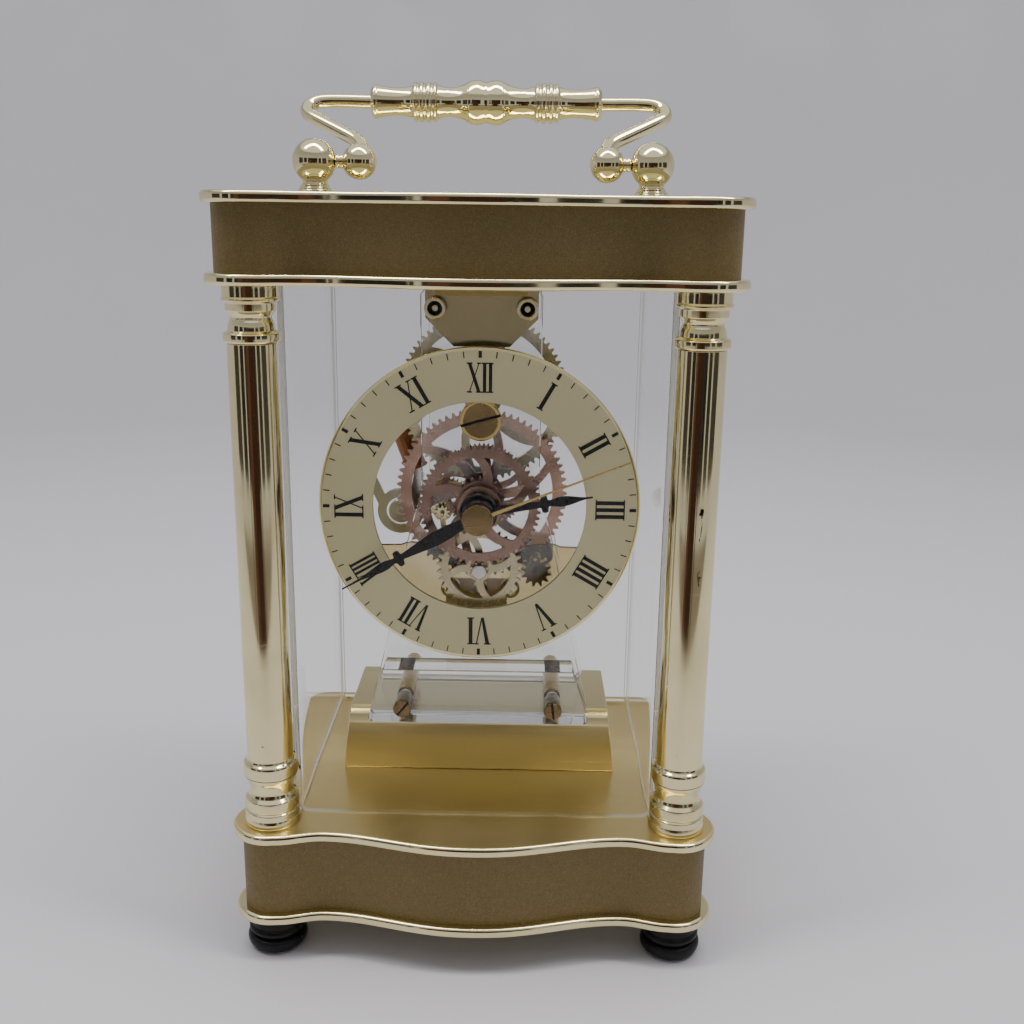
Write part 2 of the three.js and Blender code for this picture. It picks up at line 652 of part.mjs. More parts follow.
function hourHand() {
  const plan = [[-1.5, 3], [-1.25, 12], [-1.05, 18.0], [-2.5, 18.3], [-2.7, 19.2], [-2.5, 20.1], [-1.0, 20.4],
    [-1.5, 24.0], [-1.25, 26.5], [-0.55, 29.5], [-0.3, 33.2], [0.3, 33.2], [0.55, 29.5], [1.25, 26.5], [1.5, 24.0],
    [1.0, 20.4], [2.5, 20.1], [2.7, 19.2], [2.5, 18.3], [1.05, 18.0], [1.25, 12], [1.5, 3]].reverse();
  const hub = turnedY(tube(5.5, 3.3, 3.4), 0, -19.4, AXIS_Z, 18);
  const blade = slabY(shapeOf(plan), 0, 0.6).rotate([0, HOUR_AT, 0]).translate([0, -18.4, AXIS_Z]);
  return joined(blade.subtract(drill(0, AXIS_Z, 4.2)), hub);
}

function minuteHand() {
  const plan = [[-1.4, 3], [-2.05, 10], [-2.15, 14.5], [-1.4, 21], [-0.95, 25.2], [-2.3, 25.5], [-2.5, 26.4],
    [-2.3, 27.3], [-0.9, 27.6], [-1.35, 31.0], [-1.0, 35.5], [-0.4, 39.0], [-0.25, 45.6], [0.25, 45.6], [0.4, 39.0],
    [1.0, 35.5], [1.35, 31.0], [0.9, 27.6], [2.3, 27.3], [2.5, 26.4], [2.3, 25.5], [0.95, 25.2], [1.4, 21],
    [2.15, 14.5], [2.05, 10], [1.4, 3]].reverse();
  const hub = turnedY(tube(4.7, 1.9, 4.9), 0, -24.8, AXIS_Z, 18);
  const blade = slabY(shapeOf(plan), 0, 0.6).rotate([0, MINUTE_AT, 0]).translate([0, -21.4, AXIS_Z]);
  return joined(blade.subtract(drill(0, AXIS_Z, 3.0)), hub);
}

function secondHand() {
  const plan = [[-0.55, 3], [-0.3, 46.2], [0.3, 46.2], [0.55, 3]].reverse();
  const cap = turnedY([[0, 0], [4.0, 0], [4.4, 0.4], [4.4, 2.4], [1.1, 2.4], [1.1, 1.2], [0, 1.2]], 0, -27.6, AXIS_Z, 18);
  const blade = slabY(shapeOf(plan), 0, 0.5).rotate([0, SECOND_AT, 0]).translate([0, -26.3, AXIS_Z]);
  return joined(blade, cap);
}

// ---- motion work ----
function hourWheel() {
  const gear = wheel({ teeth: HOUR_TEETH, module: HOUR_MODULE, phase: -90, y: -10.2, thick: 1.2, bore: 2.5,
    spokes: 5, hub: 7.4, rim: 2.5, sweep: 20, width: 3.0 }).translate([0, 0, AXIS_Z]);
  const boss = turnedY([[1.9, 0], [3.0, 0], [3.0, 3.6], [6.6, 3.8], [6.6, 6.2], [1.9, 7.0], [1.9, 0]], 0, -16.9, AXIS_Z, 16);
  return joined(gear, boss);
}

function motionWheel() {
  const at = [0, 0, AXIS_Z - MOTION_AWAY];
  const gear = wheel({ teeth: MOTION_TEETH, module: CANNON_MODULE, phase: gapPhase(-90, MOTION_TEETH), y: -7.7, thick: 1.0,
    bore: 1.3, spokes: 4, hub: 4.0, rim: 2.0, sweep: 14, width: 2.2 });
  const pinion = slabY(shapeOf(gearPlan(MOTION_PINION, HOUR_MODULE, gapPhase(-90, MOTION_PINION)), [circle(1.3, 12).reverse()]), -10.6, 3.1);
  return joined(gear, pinion).translate(at);
}

function motionStud() {
  const profile = [[0, 0], [2.2, 0], [2.2, 0.9], [0.9, 0.9], [0.9, 6.4], [1.2, 6.4], [1.2, 9.4], [0, 9.4]];
  return turnedY(profile, 0, -11.9, AXIS_Z - MOTION_AWAY, 20);
}

// ---- going train ----
function centreWheel() {
  const gear = wheel({ teeth: CENTRE_TEETH, module: TRAIN_MODULE, phase: 90, y: 6.6, thick: 1.4, bore: 1.2,
    spokes: 6, hub: 6.6, rim: 3.2, sweep: 22, width: 3.0 }).translate([0, 0, AXIS_Z]);
  const cannonPlan = gearPlan(CANNON_TEETH, CANNON_MODULE, -90);
  const cannon = slabY(shapeOf(cannonPlan, [circle(1.2, 12).reverse()]), -7.9, 1.4).translate([0, 0, AXIS_Z]);
  const arbor = turnedY(tube(1.55, 0.95, 33.3), 0, -24.4, AXIS_Z, 12);
  const collar = turnedY(tube(3.6, 1.2, 3.2), 0, 5.6, AXIS_Z, 16);
  return joined(gear, cannon, arbor, collar);
}

function thirdWheel() {
  const gear = wheel({ teeth: THIRD_TEETH, module: THIRD_MODULE, phase: -90, y: 12.2, thick: 1.4, bore: 0.9,
    spokes: 6, hub: 6.0, rim: 3.0, sweep: 20, width: 2.8 });
  const pinion = slabY(shapeOf(gearPlan(THIRD_PINION, TRAIN_MODULE, gapPhase(90, THIRD_PINION))), 5.8, 3.0);
  const arbor = turnedY([[0, 0], [0.7, 0], [0.7, 1.6], [1.2, 1.6], [1.2, 22.2], [0.7, 22.2], [0.7, 23.8], [0, 23.8]], 0, -1.7, 0, 10);
  return joined(gear, pinion, arbor).translate([0, 0, AXIS_Z + THIRD_AWAY]);
}

function secondsWheel() {
  const pinionPhase = gapPhase(-90, SECONDS_PINION);
  const pinion = slabY(shapeOf(gearPlan(SECONDS_PINION, THIRD_MODULE, pinionPhase)), 11.6, 2.6);
  const gear = wheel({ teeth: SECONDS_TEETH, module: STEP_MODULE, phase: STEP_ANGLE, y: 16.4, thick: 1.0, bore: 0.5,
    spokes: 5, hub: 3.6, rim: 2.0, sweep: 16, width: 2.2 });
  const arbor = turnedY(rod(0.65, 48.0), 0, -26.2, 0, 10);
  return joined(pinion, gear, arbor).translate([0, 0, AXIS_Z]);
}

function stepWheel() {
  const [x, z] = polar(STEP_AWAY, STEP_ANGLE);
  const pinion = slabY(shapeOf(gearPlan(STEP_PINION, STEP_MODULE, gapPhase(STEP_ANGLE, STEP_PINION))), 15.9, 2.0);
  const gear = wheel({ teeth: STEP_TEETH, module: STEP_MODULE, phase: ROTOR_ANGLE, y: 19.2, thick: 0.9, bore: 0.5,
    spokes: 4, hub: 3.2, rim: 1.8, sweep: 14, width: 1.8 });
  const arbor = turnedY(rod(0.7, 8.0), 0, 14.0, 0, 10);
  return joined(pinion, gear, arbor).translate([x, 0, AXIS_Z + z]);
}

function rotorPlace() {
  const [x, z] = polar(STEP_AWAY, STEP_ANGLE);
  const [dx, dz] = polar(ROTOR_AWAY, ROTOR_ANGLE);
  return [x + dx, z + dz];
}

function rotor() {
  const [x, z] = rotorPlace();
  const pinion = slabY(shapeOf(gearPlan(ROTOR_PINION, STEP_MODULE, gapPhase(ROTOR_ANGLE, ROTOR_PINION))), 18.7, 1.8);
  const magnet = turnedY(rod(3.9, 2.2), 0, 16.6, 0, 24);
  const arbor = turnedY(rod(0.6, 7.8), 0, 14.0, 0, 10);
  return joined(pinion, magnet, arbor).translate([x, 0, AXIS_Z + z]);
}

const COIL_A = [-26.4, 19.6];
const COIL_B = [-21.2, 5.4];

function stator() {
  const [rx, rz] = rotorPlace();
  const bar = (a, b, w) => {
    const dx = b[0] - a[0];
    const dz = b[1] - a[1];
    const len = Math.hypot(dx, dz);
    const [nx, nz] = [-dz / len * w / 2, dx / len * w / 2];
    return slabY(shapeOf([[a[0] - nx, a[1] - nz], [b[0] - nx, b[1] - nz], [b[0] + nx, b[1] + nz], [a[0] + nx, a[1] + nz]]), 17.2, 1.2);
  };
  const u = [(COIL_B[0] - COIL_A[0]) / 15.1, (COIL_B[1] - COIL_A[1]) / 15.1];
  const a = [COIL_A[0] - u[0] * 5.0, COIL_A[1] - u[1] * 5.0];
  const b = [COIL_B[0] + u[0] * 2.6, COIL_B[1] + u[1] * 2.6];
  const left = [-38.5, 8.0];
  let ring = slabY(shapeOf(circle(7.4, 24, rx, rz)), 17.2, 1.2);
  ring = ring.subtract(turnedY(rod(4.5, 10), rx, 12, rz, 20));
  const arms = joined(bar(a, b, 3.2), bar(b, [rx + 4.6, rz + 4.4], 3.4), bar(a, left, 3.2), bar(left, [rx - 5.4, rz + 2.4], 3.2));
  const caps = [b, left].map(([x, z]) => slabY(shapeOf(circle(1.75, 12, x, z)), 17.2, 1.2));
  return joined(ring, arms.subtract(turnedY(rod(4.5, 10), rx, 12, rz, 20)), ...caps).translate([0, 0, AXIS_Z]);
}

function coil() {
  const dx = COIL_B[0] - COIL_A[0];
  const dz = COIL_B[1] - COIL_A[1];
  const len = Math.hypot(dx, dz);
  const profile = [[2.1, 0], [3.9, 0], [3.9, 0.8], [3.5, 0.8], [3.5, len - 0.8], [3.9, len - 0.8], [3.9, len],
    [2.1, len], [2.1, 0]];
  const tilt = Math.atan2(dx, dz) * 180 / Math.PI;
  return turned(profile, 16).rotate([0, tilt, 0]).translate([COIL_A[0], 17.8, AXIS_Z + COIL_A[1]]);
}

function circuitBoard() {
  const board = box(-12, 8, 20.4, 21.6, AXIS_Z - 46, AXIS_Z - 32);
  const chip = box(-4, 2, 19.2, 20.7, AXIS_Z - 42, AXIS_Z - 36);
  const can = box(-10.4, -8, 18.6, 20.7, AXIS_Z - 43, AXIS_Z - 36);
  return joined(board, chip, can);
}

function setArbor() {
  const [x, z] = polar(SET_AWAY, SET_ANGLE);
  const pinion = slabY(shapeOf(gearPlan(SET_PINION, TRAIN_MODULE, gapPhase(SET_ANGLE, SET_PINION))), 5.8, 3.0);
  const profile = [[0, 0], [1.2, 0], [1.2, 23.0], [5.6, 23.2], [6.0, 23.7], [6.0, 27.2], [5.4, 27.8], [0, 27.8]];
  const arbor = turnedY(profile, 0, 3.4, 0, 14);
  return joined(pinion, arbor).translate([x, 0, AXIS_Z + z]);
}

// ---- assembly ----
put('base_bottom_plate', bottomPlate(), 'gold');
put('base_band', band(Z_BAND, BASE_BAND_H), 'bronze');
put('base_deck', plate(Z_DECK).subtract(pinHole(Z_DECK - 1, Z_DECK_TOP + 1)), 'brushedGold');
put('foot_front_left', foot(-EAR_X, EAR_Y), 'black');
put('foot_front_right', foot(EAR_X, EAR_Y), 'black');
put('foot_rear_left', foot(-REAR_FOOT_X, REAR_FOOT_Y), 'black');
put('foot_rear_right', foot(REAR_FOOT_X, REAR_FOOT_Y), 'black');
put('battery_cover', batteryCover(), 'black');
put('battery_tray', batteryTray(), 'black');
put('battery_cell', batteryCell(), 'cell');
put('battery_contacts', batteryContacts(), 'steel');
put('pedestal_housing', pedestal(), 'brushedGold');
for (const [side, word] of [[-1, 'left'], [1, 'right']]) {
  put(`column_base_${word}`, columnBase(side * EAR_X), 'gold');
  put(`column_shaft_${word}`, columnShaft(side * EAR_X), 'gold');
  put(`column_capital_${word}`, columnCapital(side * EAR_X), 'gold');
}
put('cover_wrap', coverWrap(), 'clear');
put('rear_door', rearDoor(), 'clear');
put('door_pin_top', doorPin(Z_CEIL - 0.6), 'gold');
put('door_pin_bottom', doorPin(Z_DECK_TOP - 2.1), 'gold');
put('door_knob', doorKnob(), 'gold');
put('top_lower_plate', plate(Z_CEIL).subtract(pinHole(Z_CEIL - 1, Z_TOP_BAND + 1)), 'gold');
put('top_band', band(Z_TOP_BAND, TOP_BAND_H), 'bronze');
put('top_upper_plate', plate(Z_TOP), 'gold');
for (const [side, word] of [[-1, 'left'], [1, 'right']]) {
  put(`handle_post_${word}`, handlePost(side), 'gold');
  put(`pivot_pin_${word}`, pivotPin(side), 'gold');
}
put('bail', bail(), 'gold');
put('handle_grip', handleGrip(), 'gold');
put('front_plate', frontPlate(), 'clear');
put('name_block', nameBlock(), 'clear');
put('back_plate', backPlate(), 'clear');
put('top_bracket', topBracket(), 'gold');
for (const [side, word] of [[-1, 'left'], [1, 'right']]) {
  put(`upper_pillar_${word}`, upperPillar(side), 'steel');
  put(`lower_pillar_${word}`, lowerPillar(side), 'gold');
  put(`foot_screw_${word}`, footScrew(side), 'gold');
}
put('boss_screw', bossScrew(), 'gold');
put('lower_bridge', lowerBridge(), 'smoke');
put('chapter_ring', chapterRing(), 'dial');
put('hour_hand', hourHand(), 'black');
put('minute_hand', minuteHand(), 'black');
put('second_hand', secondHand(), 'gold');
put('hour_wheel', hourWheel(), 'copper');
put('motion_wheel', motionWheel(), 'copper');
put('motion_stud', motionStud(), 'steel');
put('centre_wheel', centreWheel(), 'copper');
put('third_wheel', thirdWheel(), 'brushedGold');
put('seconds_wheel', secondsWheel(), 'copper');
put('step_wheel', stepWheel(), 'gold');
put('rotor', rotor(), 'steel');
put('stator', stator(), 'steel');
put('coil', coil(), 'winding');
put('circuit_board', circuitBoard(), 'board');
put('set_arbor', setArbor(), 'gold');

export default group;
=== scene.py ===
"""The looks of a carriage-style skeleton clock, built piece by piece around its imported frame.

Sizes inside the classes are millimetres in the clock's own frame; Shop turns them into metres.
"""
import logging
import math
from dataclasses import dataclass, field
from enum import Enum
from typing import Callable, Iterable, Sequence

import bpy
from mathutils import Matrix, Vector


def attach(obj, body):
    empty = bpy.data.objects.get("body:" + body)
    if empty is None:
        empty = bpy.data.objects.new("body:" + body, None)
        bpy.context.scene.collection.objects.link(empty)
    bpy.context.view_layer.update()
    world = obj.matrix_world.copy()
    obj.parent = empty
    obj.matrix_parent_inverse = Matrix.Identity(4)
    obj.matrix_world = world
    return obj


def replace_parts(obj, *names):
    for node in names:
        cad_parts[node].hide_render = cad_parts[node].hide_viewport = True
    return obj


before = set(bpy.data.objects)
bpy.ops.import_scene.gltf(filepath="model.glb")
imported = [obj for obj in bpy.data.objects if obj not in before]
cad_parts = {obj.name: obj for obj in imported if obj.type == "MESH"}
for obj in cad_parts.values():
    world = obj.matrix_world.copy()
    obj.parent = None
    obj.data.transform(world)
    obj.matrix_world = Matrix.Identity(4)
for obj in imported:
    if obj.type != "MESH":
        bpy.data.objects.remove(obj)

LOG = logging.getLogger("clock")
MM = 0.001
AXIS_Z = 128.45
BOSS_Z = 153.5
SCREW_X, SCREW_Z = 22.8, 66.6
DECK_TOP = 40.75
CEILING = 193.5
ROOF = 216.6
EAR = (58.6, -37.6)

Point = tuple[float, float]
Corner = tuple[float, float, float]
Piece = bpy.types.Object
Socket = bpy.types.NodeSocket


def polar(radius: float, degrees: float) -> Point:
    """A point at this radius and angle."""
    return radius * math.cos(math.radians(degrees)), radius * math.sin(math.radians(degrees))


def off_line(face: bpy.types.MeshPolygon, x: float, z: float) -> float:
    """How far a face's middle lies from a line along Y through x, z, in millimetres."""
    return math.hypot(face.center.x / MM - x, face.center.z / MM - z)


def eased(profile: Sequence[Point], radius: float, sharp: float = 18.0, steps: int = 3) -> list[Point]:
    """Rounds the corners of an open line.

    Args:
        profile: the line's corners.
        radius: the most that a corner is cut back along each side.
        sharp: corners that turn by fewer degrees than this stay.
        steps: how many lines each rounding has.

    Returns:
        The corners of the rounded line.
    """
    out = [profile[0]]
    for before, here, after in zip(profile, profile[1:], profile[2:]):
        a, b = Vector(before) - Vector(here), Vector(after) - Vector(here)
        if a.length < 1e-6 or b.length < 1e-6 or math.degrees(math.pi - a.angle(b)) < sharp:
            out.append(here)
            continue
        cut = min(radius, a.length * 0.45, b.length * 0.45)
        start, end = Vector(here) + a.normalized() * cut, Vector(here) + b.normalized() * cut
        for i in range(steps + 1):
            t = i / steps
            out.append(tuple(start * (1 - t) ** 2 + Vector(here) * 2 * t * (1 - t) + end * t * t))
    out.append(profile[-1])
    return out


def flowing(points: Sequence[Sequence[float]], steps: int = 6) -> list[tuple[float, ...]]:
    """A smooth line through the points, with this many steps between each two.

    Args:
        points: the points it passes, in order.
        steps: how many steps lie between each two.

    Returns:
        The points of the line.
    """
    pts = [Vector(p) for p in points]
    pts = [pts[0] * 2 - pts[1], *pts, pts[-1] * 2 - pts[-2]]
    out = []
    for p0, p1, p2, p3 in zip(pts, pts[1:], pts[2:], pts[3:]):
        for i in range(steps):
            t = i / steps
            out.append(tuple(0.5 * (p1 * 2 + (p2 - p0) * t + (p0 * 2 - p1 * 5 + p2 * 4 - p3) * t * t
                                    + (p1 * 3 - p0 - p2 * 3 + p3) * t ** 3)))
    out.append(tuple(pts[-2]))
    return out


class Way(Enum):
    """The direction a piece is turned about or sawn through."""

    X = 0
    Y = 1
    Z = 2

    def corner(self, u: float, v: float, along: float) -> Corner:
        """A corner at u, v across this way and at this distance along it."""
        return {Way.X: (along, u, v), Way.Y: (u, along, v), Way.Z: (u, v, along)}[self]

    def vector(self, length: float = 1.0) -> Vector:
        """An arrow of this length."""
        return Vector([length if i == self.value else 0.0 for i in range(3)])


class Shop:
    """The bench tools. Each makes or shapes one piece, whose place is in its mesh."""

    @staticmethod
    def clear() -> None:
        """Leaves edit mode and selects nothing."""
        if bpy.context.mode != "OBJECT":
            bpy.ops.object.mode_set(mode="OBJECT")
        bpy.ops.object.select_all(action="DESELECT")

    @staticmethod
    def pick(piece: Piece) -> None:
        """Selects one piece alone."""
        Shop.clear()
        piece.select_set(True)
        bpy.context.view_layer.objects.active = piece

    @staticmethod
    def wire(name: str, corners: Sequence[Corner], filled: bool = False) -> Piece:
        """A closed loop of corners, or a face, shaped from a circle.

        Args:
            name: its name.
            corners: its corners in millimetres.
            filled: whether the loop is filled with a face.

        Returns:
            The loop or face.
        """
        Shop.clear()
        bpy.ops.mesh.primitive_circle_add(vertices=len(corners), radius=MM,
                                          fill_type="NGON" if filled else "NOTHING")
        piece = bpy.context.active_object
        piece.name = piece.data.name = name
        for vertex, corner in zip(piece.data.vertices, corners):
            vertex.co = Vector(corner) * MM
        return piece

    @staticmethod
    def tidy(piece: Piece, angle: float = 34.0) -> Piece:
        """Merges doubles, turns faces outwards, drops loose bits and smooths below an angle.

        Args:
            piece: the piece to work on.
            angle: edges flatter than this many degrees are smoothed.

        Returns:
            The same piece.
        """
        Shop.pick(piece)
        bpy.ops.object.mode_set(mode="EDIT")
        bpy.ops.mesh.select_all(action="SELECT")
        bpy.ops.mesh.remove_doubles(threshold=2e-6)
        bpy.ops.mesh.select_all(action="SELECT")
        bpy.ops.mesh.normals_make_consistent(inside=False)
        bpy.ops.mesh.delete_loose(use_verts=True, use_edges=True, use_faces=False)
        bpy.ops.object.mode_set(mode="OBJECT")
        bpy.ops.object.shade_smooth_by_angle(angle=math.radians(angle))
        return piece

    @staticmethod
    def modify(piece: Piece, kind: str, **settings: object) -> Piece:
        """Adds a modifier with these settings and applies it.

        Args:
            piece: the piece to work on.
            kind: the modifier's type.
            settings: its properties and their values.

        Returns:
            The same piece.
        """
        Shop.pick(piece)
        modifier = piece.modifiers.new(kind.title(), kind)
        for key, value in settings.items():
            setattr(modifier, key, value)
        bpy.ops.object.modifier_apply(modifier=modifier.name)
        return piece

    @staticmethod
    def soften(piece: Piece, width: float, segments: int = 2, angle: float = 34.0) -> Piece:
        """Bevels every edge sharper than an angle."""
        Shop.modify(piece, "BEVEL", width=width * MM, segments=segments, limit_method="ANGLE",
                    angle_limit=math.radians(angle), use_clamp_overlap=True, harden_normals=False)
        return Shop.tidy(piece)

    @staticmethod
    def slab(name: str, outline: Sequence[Point], start: float, depth: float, way: Way,
             soft: float = 0.0, segments: int = 2) -> Piece:
        """A flat outline drawn out into a solid.

        Args:
            name: the piece's name.
            outline: its corners across the way.
            start: where its first face lies along the way.
            depth: how far it is drawn out.
            way: the direction it is drawn.
            soft: the width of the bevel on its sharp edges.
            segments: how many faces the bevel has.

        Returns:
            The solid.
        """
        piece = Shop.wire(name, [way.corner(u, v, start) for u, v in outline], filled=True)
        Shop.pick(piece)
        bpy.ops.object.mode_set(mode="EDIT")
        bpy.ops.mesh.select_all(action="SELECT")
        bpy.ops.mesh.extrude_region_move(TRANSFORM_OT_translate={"value": way.vector(depth * MM)})
        Shop.tidy(piece)
        return Shop.soften(piece, soft, segments) if soft else piece

    @staticmethod
    def turned(name: str, profile: Sequence[Point], place: Corner, way: Way, steps: int = 64,
               soft: float = 0.12) -> Piece:
        """A profile of radius and height turned once about a line through a place.

        Args:
            name: the piece's name.
            profile: pairs of radius and height along the way.
            place: the point that heights are counted from.
            way: the direction of the line.
            steps: how many sides the piece gets.
            soft: how far its corners are eased.

        Returns:
            The turned piece.
        """
        line = eased(profile, soft) if soft else list(profile)
        base = Vector(place)
        across = Vector((0, 0, 1)) if way is Way.X else Vector((1, 0, 0))
        piece = Shop.wire(name, [tuple(base + across * r + way.vector(h)) for r, h in line])
        Shop.pick(piece)
        bpy.ops.object.mode_set(mode="EDIT")
        bpy.ops.mesh.select_all(action="SELECT")
        bpy.ops.mesh.spin(steps=steps, angle=2 * math.pi, center=base * MM, axis=way.vector())
        return Shop.tidy(piece)

    @staticmethod
    def cut(piece: Piece, cutters: Iterable[Piece], finish: bool = True) -> Piece:
        """Takes the cutters out of the piece and throws them away."""
        for cutter in cutters:
            Shop.modify(piece, "BOOLEAN", operation="DIFFERENCE", solver="EXACT", object=cutter)
            bpy.data.objects.remove(cutter, do_unlink=True)
        return Shop.tidy(piece) if finish else piece

    @staticmethod
    def joined(name: str, pieces: Sequence[Piece]) -> Piece:
        """Several pieces made one.

        Args:
            name: its name.
            pieces: the pieces; the first keeps its origin.

        Returns:
            The one piece.
        """
        Shop.clear()
        for piece in pieces:
            piece.select_set(True)
        bpy.context.view_layer.objects.active = pieces[0]
        if len(pieces) > 1:
            bpy.ops.object.join()
        pieces[0].name = pieces[0].data.name = name
        return pieces[0]

    @staticmethod
    def moved(piece: Piece, matrix: Matrix) -> Piece:
        """Moves a piece's mesh; the matrix is in metres."""
        piece.data.transform(matrix)
        piece.data.update()
        return piece

    @staticmethod
    def again(piece: Piece, name: str, matrix: Matrix) -> Piece:
        """A copy with its own mesh, moved by a matrix in metres."""
        copy = piece.copy()
        copy.data = piece.data.copy()
        copy.name = copy.data.name = name
        bpy.context.collection.objects.link(copy)
        return Shop.moved(copy, matrix)

    @staticmethod
    def turn(degrees: float, way: Way, place: Corner = (0.0, 0.0, 0.0)) -> Matrix:
        """A turn by the right-hand rule about a line through a place."""
        at = Vector(place) * MM
        return Matrix.Translation(at) @ Matrix.Rotation(math.radians(degrees), 4,
                                                        way.name) @ Matrix.Translation(-at)

    @staticmethod
    def pipe(name: str, points: Sequence[Corner], radius: float, sides: int = 20) -> Piece:
        """A round rod along a line of points.

        Args:
            name: its name.
            points: the points it passes, in order.
            radius: the radius in millimetres.
            sides: how many sides the rod has.

        Returns:
            The rod.
        """
        Shop.clear()
        data = bpy.data.curves.new(name, "CURVE")
        data.dimensions, data.bevel_depth, data.bevel_resolution = "3D", radius * MM, sides // 4
        data.use_fill_caps = True
        line = data.splines.new("POLY")
        line.points.add(len(points) - 1)
        for knot, point in zip(line.points, points):
            knot.co = (*(Vector(point) * MM), 1.0)
        piece = bpy.data.objects.new(name, data)
        bpy.context.collection.objects.link(piece)
        Shop.pick(piece)
        bpy.ops.object.convert(target="MESH")
        return Shop.tidy(bpy.context.active_object, 50.0)

    @staticmethod
    def dress(piece: Piece, finish: "Finish", body: str, slot: str, *nodes: str) -> Piece:
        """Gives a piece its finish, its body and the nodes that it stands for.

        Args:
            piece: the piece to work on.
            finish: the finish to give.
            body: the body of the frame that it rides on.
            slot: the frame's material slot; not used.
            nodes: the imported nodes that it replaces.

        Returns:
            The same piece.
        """
        piece.data.materials.clear()
        piece.data.materials.append(finish.material())
        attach(piece, body)
        if nodes:
            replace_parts(piece, *nodes)
        LOG.info("%s rides on %s", piece.name, body)
        return piece

    @staticmethod
    def face_finish(piece: Piece, finish: "Finish",
                    wanted: Callable[[bpy.types.MeshPolygon], bool]) -> None:
        """Gives the faces that are wanted a second finish."""
        piece.data.materials.append(finish.material())
        for face in piece.data.polygons:
            if wanted(face):
                face.material_index = len(piece.data.materials) - 1


class Graph:
    """Short hand for laying out one node tree."""

    def __init__(self, tree: bpy.types.NodeTree) -> None:
        """Starts on a tree, keeping what is in it."""
        self.tree = tree

    def add(self, kind: str, inputs: dict[str | int, object] | None = None,
            **settings: object) -> bpy.types.Node:
        """Adds a node; each input is a value or a socket to link from.

        Args:
            kind: the node's type.
            inputs: values, or sockets to link from.
            settings: the node's own properties.

        Returns:
            The new node.
        """
        node = self.tree.nodes.new(kind)
        for key, value in settings.items():
            setattr(node, key, value)
        for key, value in (inputs or {}).items():
            if isinstance(value, bpy.types.NodeSocket):
                self.tree.links.new(value, node.inputs[key])
            else:
                node.inputs[key].default_value = value
        return node

    def math(self, operation: str, a: object, b: object = 0.0, clamp: bool = False) -> Socket:
        """One sum on two values."""
        return self.add("ShaderNodeMath", {0: a, 1: b}, operation=operation, use_clamp=clamp).outputs[0]

    def ramp(self, value: Socket, low: float, high: float, out_low: float = 0.0,
             out_high: float = 1.0) -> Socket:
        """Maps a range of a value to another, clamped."""
        return self.add("ShaderNodeMapRange", {0: value, 1: low, 2: high, 3: out_low,
                                               4: out_high}).outputs[0]

    def blend(self, amount: object, a: object, b: object) -> Socket:
        """A colour between two colours.

        Args:
            amount: how much of the second.
            a: the first value.
            b: the second value.

        Returns:
            The colour.
        """
        node = self.add("ShaderNodeMix", {"Factor": amount}, data_type="RGBA")
        for socket, value in ((node.inputs[6], a), (node.inputs[7], b)):
            if isinstance(value, bpy.types.NodeSocket):
                self.tree.links.new(value, socket)
            else:
                socket.default_value = value
        return node.outputs[2]

    def place(self, scale: Corner = (1.0, 1.0, 1.0)) -> Socket:
        """The surface's place in the clock's frame, stretched by a scale."""
        where = self.add("ShaderNodeTexCoord").outputs["Object"]
        return self.add("ShaderNodeMapping", {"Vector": where, "Scale": scale}).outputs[0]

    def noise(self, scale: float, detail: float = 3.0, stretch: Corner = (1.0, 1.0, 1.0)) -> Socket:
        """Soft noise with this many cells in a metre."""
        return self.add("ShaderNodeTexNoise", {"Vector": self.place(stretch), "Scale": scale,
                                               "Detail": detail, "Roughness": 0.55}).outputs[0]


def new_group(name: str, inputs: dict[str, float], outputs: Sequence[str]) -> tuple[bpy.types.NodeTree,
                                                                                    Graph, object, object]:
    """Starts a shader group with these sockets.

    Args:
        name: the group's name.
        inputs: each input's name and first value.
        outputs: the outputs' names.

    Returns:
        The tree, its graph, its input node and its output node.
    """
    tree = bpy.data.node_groups.new(name, "ShaderNodeTree")
    for key, value in inputs.items():
        tree.interface.new_socket(key, in_out="INPUT", socket_type="NodeSocketFloat").default_value = value
    for key in outputs:
        tree.interface.new_socket(key, in_out="OUTPUT", socket_type="NodeSocketFloat")
    graph = Graph(tree)
    return tree, graph, graph.add("NodeGroupInput"), graph.add("NodeGroupOutput")


